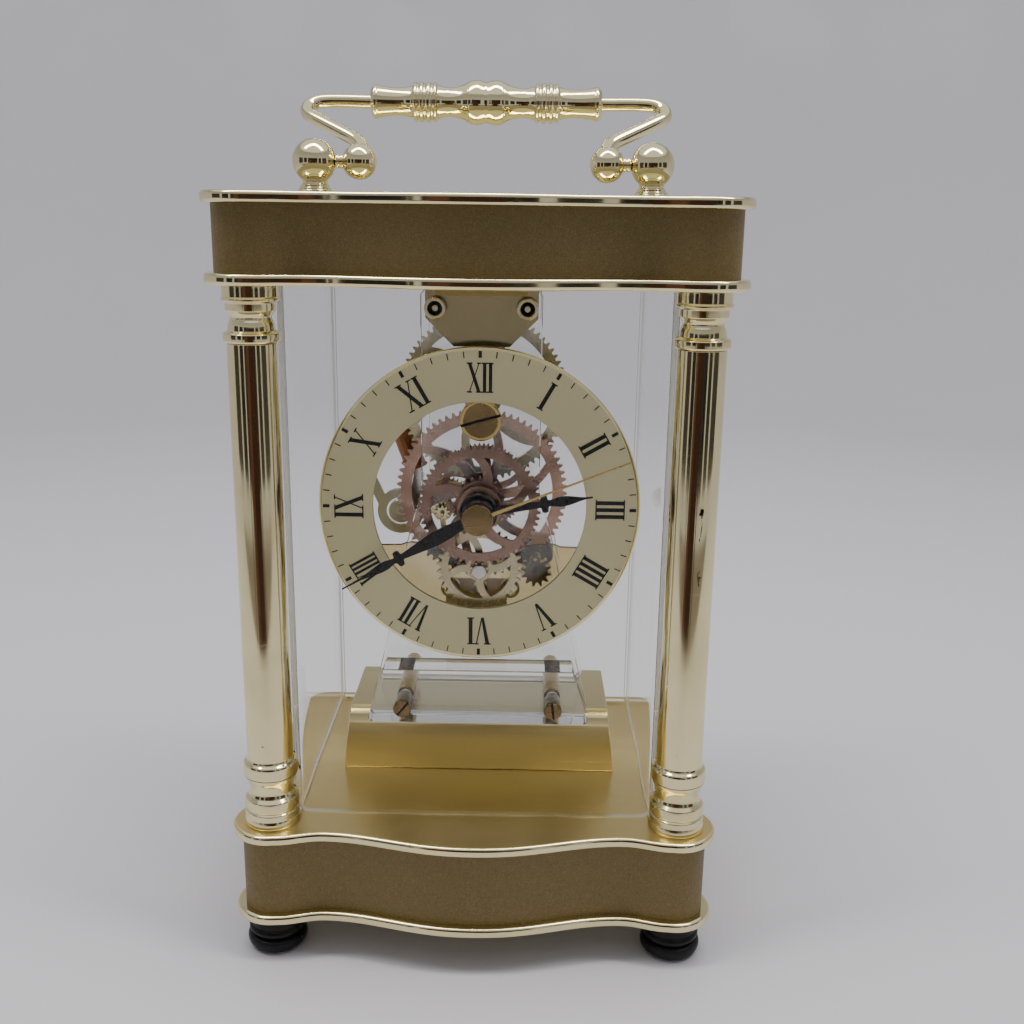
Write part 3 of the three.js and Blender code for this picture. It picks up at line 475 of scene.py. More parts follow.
class Effects:
    """The shared surface effects, each a node group built once."""

    made: dict[str, bpy.types.NodeTree] = {}

    @classmethod
    def get(cls, name: str) -> bpy.types.NodeTree:
        """The group with this name, built on first use."""
        if name not in cls.made:
            cls.made[name] = {"handling": cls.handling, "brushing": cls.brushing, "speckle": cls.speckle,
                               "pitting": cls.pitting}[name]()
        return cls.made[name]

    @staticmethod
    def handling() -> bpy.types.NodeTree:
        """Smudges, dust specks and hair scratches left by use.

        Returns:
            The group.
        """
        tree, g, given, out = new_group("handling", {"Scale": 60.0}, ("Smudge", "Specks", "Scratch"))
        where = g.place()
        smudge = g.add("ShaderNodeTexNoise", {"Vector": where, "Scale": given.outputs["Scale"],
                                              "Detail": 4.0})
        g.tree.links.new(g.ramp(smudge.outputs[0], 0.38, 0.68), out.inputs["Smudge"])
        fine = g.math("MULTIPLY", given.outputs["Scale"], 14.0)
        cells = g.add("ShaderNodeTexVoronoi", {"Vector": where, "Scale": fine}, feature="F1")
        dots = g.ramp(cells.outputs["Distance"], 0.05, 0.12, 1.0, 0.0)
        sparse = g.ramp(cells.outputs["Color"], 0.62, 0.66)
        g.tree.links.new(g.math("MULTIPLY", dots, sparse), out.inputs["Specks"])
        lines = []
        for turn in (0.35, -0.9):
            turned = g.add("ShaderNodeMapping", {"Vector": where,
                                                 "Rotation": (turn, turn * 0.6, turn * 1.7),
                                                 "Scale": (40.0, 900.0, 900.0)})
            streak = g.add("ShaderNodeTexNoise", {"Vector": turned.outputs[0], "Scale": 1.0, "Detail": 1.0})
            lines.append(g.ramp(streak.outputs[0], 0.70, 0.74))
        g.tree.links.new(g.math("MAXIMUM", *lines), out.inputs["Scratch"])
        return tree

    @staticmethod
    def brushing() -> bpy.types.NodeTree:
        """Fine lines left by a brush across the width of the clock.

        Returns:
            The group.
        """
        tree, g, given, out = new_group("brushing", {"Length": 12.0, "Fineness": 1500.0},
                                        ("Streak", "Band"))
        where = g.add("ShaderNodeTexCoord").outputs["Object"]
        size = g.add("ShaderNodeCombineXYZ", {0: given.outputs["Length"], 1: given.outputs["Fineness"],
                                              2: given.outputs["Fineness"]}).outputs[0]
        drawn = g.add("ShaderNodeVectorMath", {0: where, 1: size}, operation="MULTIPLY").outputs[0]
        fine = g.add("ShaderNodeTexNoise", {"Vector": drawn, "Scale": 1.0, "Detail": 3.0})
        wide = g.add("ShaderNodeTexNoise", {"Vector": drawn, "Scale": 0.3, "Detail": 3.0})
        g.tree.links.new(g.ramp(fine.outputs[0], 0.25, 0.75), out.inputs["Streak"])
        g.tree.links.new(g.ramp(wide.outputs[0], 0.3, 0.7), out.inputs["Band"])
        return tree

    @staticmethod
    def speckle() -> bpy.types.NodeTree:
        """The fine grain of a metallic paint.

        Returns:
            The group.
        """
        tree, g, given, out = new_group("speckle", {"Grain": 3200.0}, ("Light", "Dark"))
        where = g.place()
        cells = g.add("ShaderNodeTexVoronoi", {"Vector": where, "Scale": given.outputs["Grain"]},
                      feature="F1")
        g.tree.links.new(g.ramp(cells.outputs["Color"], 0.55, 0.95), out.inputs["Light"])
        g.tree.links.new(g.ramp(cells.outputs["Color"], 0.30, 0.05), out.inputs["Dark"])
        return tree


    @staticmethod
    def pitting() -> bpy.types.NodeTree:
        """Black flecks where plating has come away, in an upright strip of the surface.

        Returns:
            The group.
        """
        tree, g, given, out = new_group("pitting", {"Across": 0.06, "Reach": 0.0016, "Scale": 380.0},
                                        ("Pits",))
        flecks = g.add("ShaderNodeTexNoise", {"Vector": g.place((1.0, 1.0, 0.35)),
                                              "Scale": given.outputs["Scale"],
                                              "Detail": 5.0, "Roughness": 0.7})
        patches = g.add("ShaderNodeTexNoise", {"Vector": g.place((1.0, 1.0, 0.25)), "Scale": 110.0,
                                               "Detail": 1.0})
        across = g.add("ShaderNodeSeparateXYZ", {0: g.place()}).outputs[0]
        away = g.math("ABSOLUTE", g.math("SUBTRACT", across, given.outputs["Across"]))
        near = g.math("SUBTRACT", 1.0, g.math("DIVIDE", away, given.outputs["Reach"]), clamp=True)
        strip = g.math("MULTIPLY", g.math("MULTIPLY", near, 0.19), g.ramp(patches.outputs[0], 0.42, 0.62))
        level = g.math("ADD", flecks.outputs[0], strip)
        g.tree.links.new(g.ramp(level, 0.70, 0.73), out.inputs["Pits"])
        return tree


@dataclass(frozen=True)
class Finish:
    """A surface finish. Colours are linear red, green and blue."""

    name: str
    colour: Corner
    metal: float = 0.0
    rough: float = 0.4
    rough_worn: float = 0.5
    wear_and_groove_shade: Corner = (0.2, 0.15, 0.1)
    worn_share: float = 0.3
    scale: float = 60.0
    bump: float = 0.0
    wave: float = 0.0
    shine: float = 0.5

    def start(self) -> tuple[bpy.types.Material, Graph, bpy.types.Node]:
        """A new material with its shader, whose constants are set on its own sockets.

        Returns:
            The material, its graph and its shader.
        """
        material = bpy.data.materials.new(f"{self.name}_finish")
        material.use_nodes = True
        graph = Graph(material.node_tree)
        shader = material.node_tree.nodes["Principled BSDF"]
        shader.inputs["Metallic"].default_value = self.metal
        shader.inputs["Specular IOR Level"].default_value = self.shine
        return material, graph, shader

    def effect(self, graph: Graph, name: str, **values: float) -> bpy.types.Node:
        """Places a shared effect with its own values."""
        node = graph.add("ShaderNodeGroup", node_tree=Effects.get(name))
        for key, value in values.items():
            node.inputs[key].default_value = value
        return node

    def relief(self, graph: Graph, shader: bpy.types.Node, height: Socket, depth: float) -> None:
        """Raises the surface by a height, in metres at its most."""
        bump = graph.add("ShaderNodeBump", {"Height": height, "Distance": depth, "Strength": 1.0})
        graph.tree.links.new(bump.outputs[0], shader.inputs["Normal"])

    def nodes(self, graph: Graph, shader: bpy.types.Node) -> None:
        """Lays out the colour, the roughness and the relief.

        Args:
            graph: the material's graph.
            shader: its principled shader.
        """
        link = graph.tree.links.new
        use = self.effect(graph, "handling", Scale=self.scale)
        marks = graph.math("MULTIPLY", use.outputs["Smudge"], self.worn_share, clamp=True)
        marks = graph.math("MAXIMUM", marks, graph.math("MULTIPLY", use.outputs["Specks"],
                                                        min(1.0, self.worn_share * 2)))
        link(graph.blend(marks, (*self.colour, 1), (*self.wear_and_groove_shade, 1)), shader.inputs["Base Color"])
        wear = graph.math("MAXIMUM", use.outputs["Smudge"],
                          graph.math("MULTIPLY", use.outputs["Scratch"], 0.8))
        link(graph.ramp(wear, 0.0, 1.0, self.rough, self.rough_worn), shader.inputs["Roughness"])
        height = graph.math("MULTIPLY", use.outputs["Scratch"], -0.15)
        if self.wave:
            slow = graph.noise(self.wave, 1.0)
            height = graph.math("ADD", height, graph.math("MULTIPLY", slow, 3.0))
        self.relief(graph, shader, height, self.bump or 0.000004)

    def material(self) -> bpy.types.Material:
        """The finish's material, built on first use.

        Returns:
            The material, made once.
        """
        found = bpy.data.materials.get(f"{self.name}_finish")
        if found:
            return found
        material, graph, shader = self.start()
        self.nodes(graph, shader)
        return material


@dataclass(frozen=True)
class PittedFinish(Finish):
    """Polished plating that has come away in flecks down one strip."""

    across: float = 0.0602
    dark: Corner = (0.018, 0.014, 0.010)

    def nodes(self, graph: Graph, shader: bpy.types.Node) -> None:
        """The plain finish with dark, dull flecks over it.

        Args:
            graph: the material's graph.
            shader: its principled shader.
        """
        super().nodes(graph, shader)
        pits = self.effect(graph, "pitting", Across=self.across).outputs["Pits"]
        colour = shader.inputs["Base Color"].links[0].from_socket
        rough = shader.inputs["Roughness"].links[0].from_socket
        graph.tree.links.new(graph.blend(pits, colour, (*self.dark, 1)), shader.inputs["Base Color"])
        graph.tree.links.new(graph.math("MAXIMUM", rough, graph.math("MULTIPLY", pits, 0.6)),
                             shader.inputs["Roughness"])


@dataclass(frozen=True)
class BrushedFinish(Finish):
    """Metal brushed across the width."""

    length: float = 12.0
    fineness: float = 1500.0
    contrast: float = 0.35

    def nodes(self, graph: Graph, shader: bpy.types.Node) -> None:
        """Streaks in the colour, the roughness and the relief.

        Args:
            graph: the material's graph.
            shader: its principled shader.
        """
        link = graph.tree.links.new
        lines = self.effect(graph, "brushing", Length=self.length, Fineness=self.fineness)
        use = self.effect(graph, "handling", Scale=self.scale)
        tone = graph.math("ADD", graph.math("MULTIPLY", lines.outputs["Streak"], self.contrast),
                          graph.math("MULTIPLY", lines.outputs["Band"], self.contrast * 0.5), clamp=True)
        tone = graph.math("ADD", tone, graph.math("MULTIPLY", use.outputs["Smudge"], self.worn_share * 0.4),
                          clamp=True)
        link(graph.blend(tone, (*self.colour, 1), (*self.wear_and_groove_shade, 1)), shader.inputs["Base Color"])
        link(graph.ramp(lines.outputs["Band"], 0.0, 1.0, self.rough, self.rough_worn),
             shader.inputs["Roughness"])
        shader.inputs["Anisotropic"].default_value = 0.6
        self.relief(graph, shader, lines.outputs["Streak"], self.bump or 0.000012)


@dataclass(frozen=True)
class SpeckledFinish(Finish):
    """Satin metallic paint with a fine grain."""

    light: Corner = (0.3, 0.22, 0.12)
    dark: Corner = (0.05, 0.035, 0.015)
    grain: float = 3200.0

    def nodes(self, graph: Graph, shader: bpy.types.Node) -> None:
        """Bright and dark flakes over a slow change of tone.

        Args:
            graph: the material's graph.
            shader: its principled shader.
        """
        link = graph.tree.links.new
        flakes = self.effect(graph, "speckle", Grain=self.grain)
        use = self.effect(graph, "handling", Scale=self.scale)
        tone = graph.blend(graph.math("MULTIPLY", use.outputs["Smudge"], self.worn_share),
                           (*self.colour, 1), (*self.wear_and_groove_shade, 1))
        tone = graph.blend(graph.math("MULTIPLY", flakes.outputs["Light"], 0.38), tone, (*self.light, 1))
        tone = graph.blend(graph.math("MULTIPLY", flakes.outputs["Dark"], 0.45), tone, (*self.dark, 1))
        link(tone, shader.inputs["Base Color"])
        link(graph.ramp(flakes.outputs["Light"], 0.0, 1.0, self.rough_worn, self.rough),
             shader.inputs["Roughness"])
        self.relief(graph, shader, flakes.outputs["Light"], self.bump or 0.00001)


@dataclass(frozen=True)
class ClearFinish(Finish):
    """Clear acrylic, with a faint tint and small scratches."""

    bend: float = 1.49

    def nodes(self, graph: Graph, shader: bpy.types.Node) -> None:
        """A clear body whose polish varies a little.

        Args:
            graph: the material's graph.
            shader: its principled shader.
        """
        link = graph.tree.links.new
        shader.inputs["Transmission Weight"].default_value = 1.0
        shader.inputs["IOR"].default_value = self.bend
        use = self.effect(graph, "handling", Scale=self.scale)
        link(graph.blend(use.outputs["Specks"], (*self.colour, 1), (*self.wear_and_groove_shade, 1)),
             shader.inputs["Base Color"])
        link(graph.ramp(use.outputs["Scratch"], 0.0, 1.0, self.rough, self.rough_worn),
             shader.inputs["Roughness"])


@dataclass(frozen=True)
class WoundFinish(Finish):
    """Fine enamelled wire laid turn beside turn."""

    pitch: float = 4200.0

    def nodes(self, graph: Graph, shader: bpy.types.Node) -> None:
        """Turns of wire as waves along the coil, with painted shade in the grooves between turns.

        Args:
            graph: the material's graph.
            shader: its principled shader.
        """
        link = graph.tree.links.new
        lie = graph.add("ShaderNodeMapping", {"Vector": graph.place(),
                                              "Rotation": (0.0, math.radians(-20.1), 0.0)})
        wave = graph.add("ShaderNodeTexWave", {"Vector": lie.outputs[0], "Scale": self.pitch / 6.283,
                                               "Distortion": 0.2},
                         bands_direction="Z")
        # painted shade: the grooves between turns are painted dark, the crests copper
        link(graph.blend(graph.ramp(wave.outputs[1], 0.1, 0.8), (*self.wear_and_groove_shade, 1), (*self.colour, 1)),
             shader.inputs["Base Color"])
        link(graph.ramp(wave.outputs[1], 0.0, 1.0, self.rough_worn, self.rough), shader.inputs["Roughness"])
        self.relief(graph, shader, wave.outputs[1], 0.00005)


GOLD = Finish("polished_gold", (0.82, 0.74, 0.43), 1.0, 0.06, 0.13, (0.50, 0.40, 0.18), 0.14, 70.0,
              0.000003, 34.0)
COLUMN_GOLD = PittedFinish("column_gold", (0.82, 0.74, 0.43), 1.0, 0.085, 0.15, (0.50, 0.38, 0.16), 0.2,
                           60.0, 0.000003, 28.0)
PALE_GOLD = Finish("pale_gold", (0.72, 0.64, 0.38), 1.0, 0.12, 0.26, (0.42, 0.33, 0.15), 0.2, 90.0)
DEEP_GOLD = Finish("deep_gold", (0.56, 0.41, 0.16), 1.0, 0.16, 0.32, (0.26, 0.17, 0.06), 0.35, 120.0)
BRUSHED = BrushedFinish("brushed_gold", (0.72, 0.57, 0.25), 1.0, 0.29, 0.38, (0.56, 0.42, 0.16), 0.3, 40.0,
                        fineness=2400.0, contrast=0.05)
SATIN = BrushedFinish("satin_gold", (0.67, 0.58, 0.30), 1.0, 0.17, 0.28, (0.58, 0.47, 0.20), 0.3, 40.0,
                      length=9.0, fineness=2600.0, contrast=0.11)
DARK_GOLD = Finish("dark_gold", (0.20, 0.14, 0.065), 1.0, 0.20, 0.36, (0.11, 0.07, 0.03), 0.4, 160.0)
OLIVE_GOLD = Finish("olive_gold", (0.29, 0.215, 0.075), 1.0, 0.10, 0.22, (0.17, 0.12, 0.035), 0.3, 60.0)
BRONZE = SpeckledFinish("bronze_paint", (0.150, 0.108, 0.034), 0.35, 0.38, 0.5, (0.19, 0.135, 0.05), 0.3,
                        30.0,
                        light=(0.30, 0.23, 0.11), dark=(0.05, 0.033, 0.012), grain=4200.0)
COPPER = Finish("copper_plate", (0.44, 0.29, 0.22), 1.0, 0.22, 0.36, (0.26, 0.13, 0.09), 0.4, 150.0)
DARK_COPPER = Finish("dark_copper_plate", (0.27, 0.18, 0.14), 1.0, 0.24, 0.40, (0.12, 0.07, 0.05), 0.4,
                     150.0)
WHEEL_GOLD = Finish("grey_gold_plate", (0.50, 0.44, 0.29), 1.0, 0.22, 0.36, (0.26, 0.20, 0.11), 0.3, 150.0)
STEEL = Finish("bright_steel", (0.62, 0.61, 0.57), 1.0, 0.14, 0.30, (0.35, 0.33, 0.29), 0.25, 120.0)
# black rubber for the feet and the battery bay, also used as painted shade inside the pillar sockets
RUBBER_AND_GROOVE_SHADE = Finish("black_rubber", (0.006, 0.006, 0.006), 0.0, 0.26, 0.45, (0.03, 0.028, 0.026), 0.25, 90.0,
                0.00003, 0.0, 0.22)
# black for the printed marks and numerals, also used as painted shade in the screw slots
INK_AND_SLOT_SHADE = Finish("black_print", (0.008, 0.008, 0.009), 0.0, 0.35, 0.5, (0.02, 0.018, 0.016), 0.2, 200.0, 0.0,
             0.0, 0.3)
HAND_BLACK = Finish("black_enamel", (0.005, 0.005, 0.006), 0.0, 0.22, 0.36, (0.02, 0.02, 0.02), 0.2, 200.0,
                    0.0, 0.0, 0.35)
DIAL = Finish("champagne_dial", (0.56, 0.51, 0.30), 0.55, 0.34, 0.42, (0.49, 0.44, 0.24), 0.3, 25.0,
              0.000004)
CLEAR = ClearFinish("clear_sheet", (0.985, 0.992, 0.985), 0.0, 0.0, 0.12, (0.8, 0.8, 0.78), 0.1, 45.0)
COVER_CLEAR = ClearFinish("clear_cover", (0.985, 0.992, 0.985), 0.0, 0.0, 0.10, (0.8, 0.8, 0.78), 0.1, 45.0,
                          bend=1.1)
TINTED = ClearFinish("pale_amber_sheet", (0.66, 0.54, 0.28), 0.0, 0.03, 0.18, (0.6, 0.5, 0.28), 0.1, 45.0)
# pale opaque sheet edges: a painted highlight for the bright edges of the clear sheets
PALE_EDGE_HIGHLIGHT = Finish("sawn_edge", (0.72, 0.74, 0.71), 0.0, 0.26, 0.4, (0.6, 0.6, 0.56), 0.2, 60.0)
WINDING = WoundFinish("wound_copper", (0.38, 0.17, 0.07), 0.85, 0.28, 0.5, (0.12, 0.035, 0.012))
BOARD = Finish("tan_board", (0.40, 0.31, 0.14), 0.0, 0.5, 0.62, (0.30, 0.22, 0.09), 0.5, 200.0, 0.00001)
JACKET = Finish("cell_wrap", (0.05, 0.055, 0.065), 0.3, 0.28, 0.4, (0.09, 0.09, 0.09), 0.3, 90.0)


@dataclass
class PlatePlan:
    """The outline shared by the plates and the bands: a bowed front between two round ears."""

    ear_r: float = 11.4
    bow_y: float = -53.1
    waist: Point = (43.0, -46.2)
    side_x: float = 66.0
    back_y: float = 53.1
    rear_r: float = 9.0

    def outline(self, inset: float = 0.0) -> list[Point]:
        """The outline moved inwards by an inset.

        Args:
            inset: how far inside the edge.

        Returns:
            Its corners.
        """
        r = self.ear_r - inset
        bow, waist = self.bow_y + inset, self.waist[1] + inset
        right: list[Point] = []
        for i in range(31):
            t = i / 30
            right.append((self.waist[0] * t,
                          bow + (waist - bow) * (0.5 - 0.5 * math.cos(math.pi * t ** 1.12))))
        sx, sy = EAR[0] + polar(r, -100)[0], EAR[1] + polar(r, -100)[1]
        for i in range(1, 10):
            t = i / 10
            right.append((self.waist[0] + (sx - self.waist[0]) * t,
                          waist + (sy - waist) * (0.5 - 0.5 * math.cos(math.pi * t))))
        for i in range(37):
            px, py = polar(r, -100 + 138 * i / 36)
            right.append((EAR[0] + px, EAR[1] + py))
        side, top = self.side_x - inset, EAR[1] + r * math.sin(math.radians(38))
        right += [(side + 0.35, top + 3.2), (side + 0.08, top + 5.6), (side, top + 8.0)]
        rr = self.rear_r - inset
        for i in range(13):
            px, py = polar(rr, 7.5 * i)
            right.append((side - rr + px, self.back_y - inset - rr + py))
        return right + [(-x, y) for x, y in reversed(right[1:])]


@dataclass
class Case:
    """The four plates, the two bands between them and the feet."""

    plan: PlatePlan = field(default_factory=PlatePlan)
    plate_t: float = 3.0
    band_inset: float = 2.6
    wall: float = 2.2
    edge: float = 1.0

    def plate(self, name: str, z: float, soft: float, slot: str = "polished_gold") -> Piece:
        """One plate with its polished, bevelled lip."""
        piece = Shop.slab(name, self.plan.outline(), z, self.plate_t, Way.Z, soft, 4)
        return Shop.dress(piece, GOLD, "case", slot)

    def plates(self) -> None:
        """The bottom plate with its battery window, the deck and the two top plates."""
        base = self.plate("base_lip", 12.0, self.edge)
        window = Shop.slab("window", [(-28, -0.5), (28, -0.5), (28, 22.5), (-28, 22.5)], 5.0, 15.0, Way.Z)
        Shop.cut(base, [window])
        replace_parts(base, "base_bottom_plate")
        rails = []
        for side in (-1, 1):
            for x0, x1, z0, z1 in ((31.4, 33.2, 9.0, 12.5), (29.4, 33.2, 8.8, 9.9)):
                rails.append(Shop.slab("rail", [(side * x0, z0), (side * x1, z0), (side * x1, z1),
                                                (side * x0, z1)],
                                       -4.0, 31.0, Way.Y, 0.15))
        Shop.dress(Shop.joined("battery_rails", rails), GOLD, "case", "polished_gold")
        deck = self.plate("deck_plate", 37.75, self.edge, "brushed_gold")
        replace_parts(deck, "base_deck")
        Shop.face_finish(deck, BRUSHED, lambda face: face.normal.z > 0.98)
        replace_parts(self.plate("ceiling_plate", CEILING, self.edge), "top_lower_plate")
        roof = self.plate("roof_plate", 213.6, self.edge)
        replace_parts(roof, "top_upper_plate")

    def band(self, name: str, z: float, height: float, node: str) -> None:
        """A painted band, open inside."""
        piece = Shop.slab(name, self.plan.outline(self.band_inset), z + 0.02, height - 0.04, Way.Z)
        hollow = Shop.slab("hollow", self.plan.outline(self.band_inset + self.wall), z - 1, height + 2,
                           Way.Z)
        Shop.dress(Shop.cut(piece, [hollow]), BRONZE, "case", "bronze_band", node)

    def foot(self) -> Piece:
        """One black foot with its groove, about the origin."""
        profile = [(0.0, 0.0), (5.6, 0.0), (7.4, 0.5), (8.5, 1.6), (8.8, 2.9), (8.6, 4.0), (7.9, 4.5),
                   (7.0, 4.7), (7.3, 5.2),
                   (8.2, 5.7), (8.35, 6.6), (8.0, 7.3), (7.6, 7.6), (7.6, 11.6), (7.3, 11.98), (0.0, 11.98)]
        return Shop.turned("foot", profile, (0.0, 0.0, 0.0), Way.Z, 72, 0.3)

    def build(self) -> None:
        """Makes the case."""
        self.plates()
        self.band("base_wall", 15.0, 22.75, "base_band")
        self.band("top_wall", 196.5, 17.1, "top_band")
        foot = self.foot()
        for name, x, y in (("foot_front_left", -EAR[0], EAR[1]), ("foot_front_right", EAR[0], EAR[1]),
                           ("foot_rear_left", -55.5, 42.0), ("foot_rear_right", 55.5, 42.0)):
            copy = Shop.again(foot, f"{name}_pad", Matrix.Translation(Vector((x, y, 0.0)) * MM))
            Shop.dress(copy, RUBBER_AND_GROOVE_SHADE, "case", "black_plastic", name)
        bpy.data.objects.remove(foot, do_unlink=True)


@dataclass
class Columns:
    """Two polished columns, each with a base, a shaft and a capital."""

    steps: int = 96

    def base(self) -> Piece:
        """The ringed base."""
        z = DECK_TOP + 0.02
        profile = [(0, z), (8.0, z), (8.1, z + 0.5), (8.05, z + 1.6), (7.75, 43.2), (7.75, 44.9),
                   (7.25, 45.3), (7.75, 45.8),
                   (7.8, 47.2), (7.6, 48.7), *flowing([(6.6, 49.6), (6.15, 50.9), (6.5, 53.0),
                                                       (7.35, 55.0)], 4),
                   (7.6, 55.75), (0, 55.75)]
        return Shop.turned("base", profile, (0, 0, 0), Way.Z, self.steps, 0.22)

    def shaft(self) -> Piece:
        """The plain shaft with its collar."""
        profile = [(0, 55.95), (7.72, 55.95), (7.72, 59.2), (7.45, 59.8), (6.8, 60.3), (6.5, 60.9),
                   (6.5, 178.55), (0, 178.55)]
        return Shop.turned("shaft", profile, (0, 0, 0), Way.Z, self.steps, 0.2)

    def capital(self) -> Piece:
        """The ringed capital."""
        top = CEILING - 0.02
        profile = [(0, 178.75), (7.1, 178.75), (7.4, 179.2), (7.4, 181.0), (7.1, 181.3), (6.1, 181.7),
                   (6.05, 183.0),
                   *flowing([(5.75, 183.9), (5.3, 185.1), (5.9, 186.3)], 4), (6.5, 186.9), (6.5, 188.9),
                   (6.9, 189.1),
                   (7.45, 189.4), (7.5, 190.0), (7.15, 190.4), (7.15, top), (0, top)]
        return Shop.turned("capital", profile, (0, 0, 0), Way.Z, self.steps, 0.18)

    def build(self) -> None:
        """Makes each part once and copies it to the other side."""
        for part, make in (("base", self.base), ("shaft", self.shaft), ("capital", self.capital)):
            master = make()
            for side, word in ((-1, "left"), (1, "right")):
                copy = Shop.again(master, f"{part}_{word}",
                                  Matrix.Translation(Vector((side * EAR[0], EAR[1], 0)) * MM))
                Shop.dress(copy, COLUMN_GOLD, "case", "polished_gold", f"column_{part}_{word}")
            bpy.data.objects.remove(master, do_unlink=True)


@dataclass
class Cover:
    """The bent clear cover, and the rear door with its knob."""

    half: float = 53.7
    front: float = -34.6
    back: float = 48.6
    thick: float = 2.2
    bend: float = 6.5

    def path(self, inset: float) -> list[Point]:
        """The cover's plan moved inwards by an inset, from the rear left to the rear right."""
        x, y, r = self.half - inset, self.front + inset, self.bend - inset
        left = [(-x + r + polar(r, 180 + 4.5 * i)[0], y + r + polar(r, 180 + 4.5 * i)[1])
                for i in range(21)]
        return [(-x, self.back), *left, *[(-px, py) for px, py in reversed(left)], (x, self.back)]

    def build(self) -> None:
        """Makes the cover, the door and the knob."""
        plan = self.path(0.0) + list(reversed(self.path(self.thick)))
        wrap = Shop.slab("cover_sheet", plan, DECK_TOP + 0.3, CEILING - DECK_TOP - 0.6, Way.Z, 0.12, 1)
        Shop.dress(wrap, COVER_CLEAR, "case", "clear_acrylic", "cover_wrap")
        door = Shop.slab("door_sheet", [(-50.8, 41.55), (50.8, 41.55), (50.8, 192.7), (-50.8, 192.7)], 46.3,
                         2.2, Way.Y, 0.2, 2)
        hole = Shop.turned("hole", [(0, 0), (1.5, 0), (1.5, 6), (0, 6)], (42, 44.3, 117), Way.Y, 32, 0)
        Shop.dress(Shop.cut(door, [hole]), COVER_CLEAR, "door", "clear_acrylic", "rear_door")
        knob = [(0, 0), (2.4, 0), (2.4, 0.9), (1.2, 0.95), (1.2, 3.55), (2.2, 3.7), (2.3, 4.4), (3.4, 4.8),
                (3.75, 5.6),
                (3.6, 6.6), (2.9, 7.35), (0, 7.6)]
        Shop.dress(Shop.turned("door_pull", knob, (42, 45.1, 117), Way.Y, 40, 0.2), GOLD, "door",
                   "polished_gold", "door_knob")
        # painted highlight: the cover's top and back edges and the door's edges are pale and opaque for the bright
        # look of lit acrylic edges
        Shop.face_finish(wrap, PALE_EDGE_HIGHLIGHT, lambda f: f.normal.z > 0.7
                         or (f.normal.y > 0.7 and f.center.y > 40 * MM))
        Shop.face_finish(door, PALE_EDGE_HIGHLIGHT, lambda f: abs(f.normal.y) < 0.5)
        for sheet in (wrap, door):
            sheet.visible_shadow = sheet.visible_diffuse = False


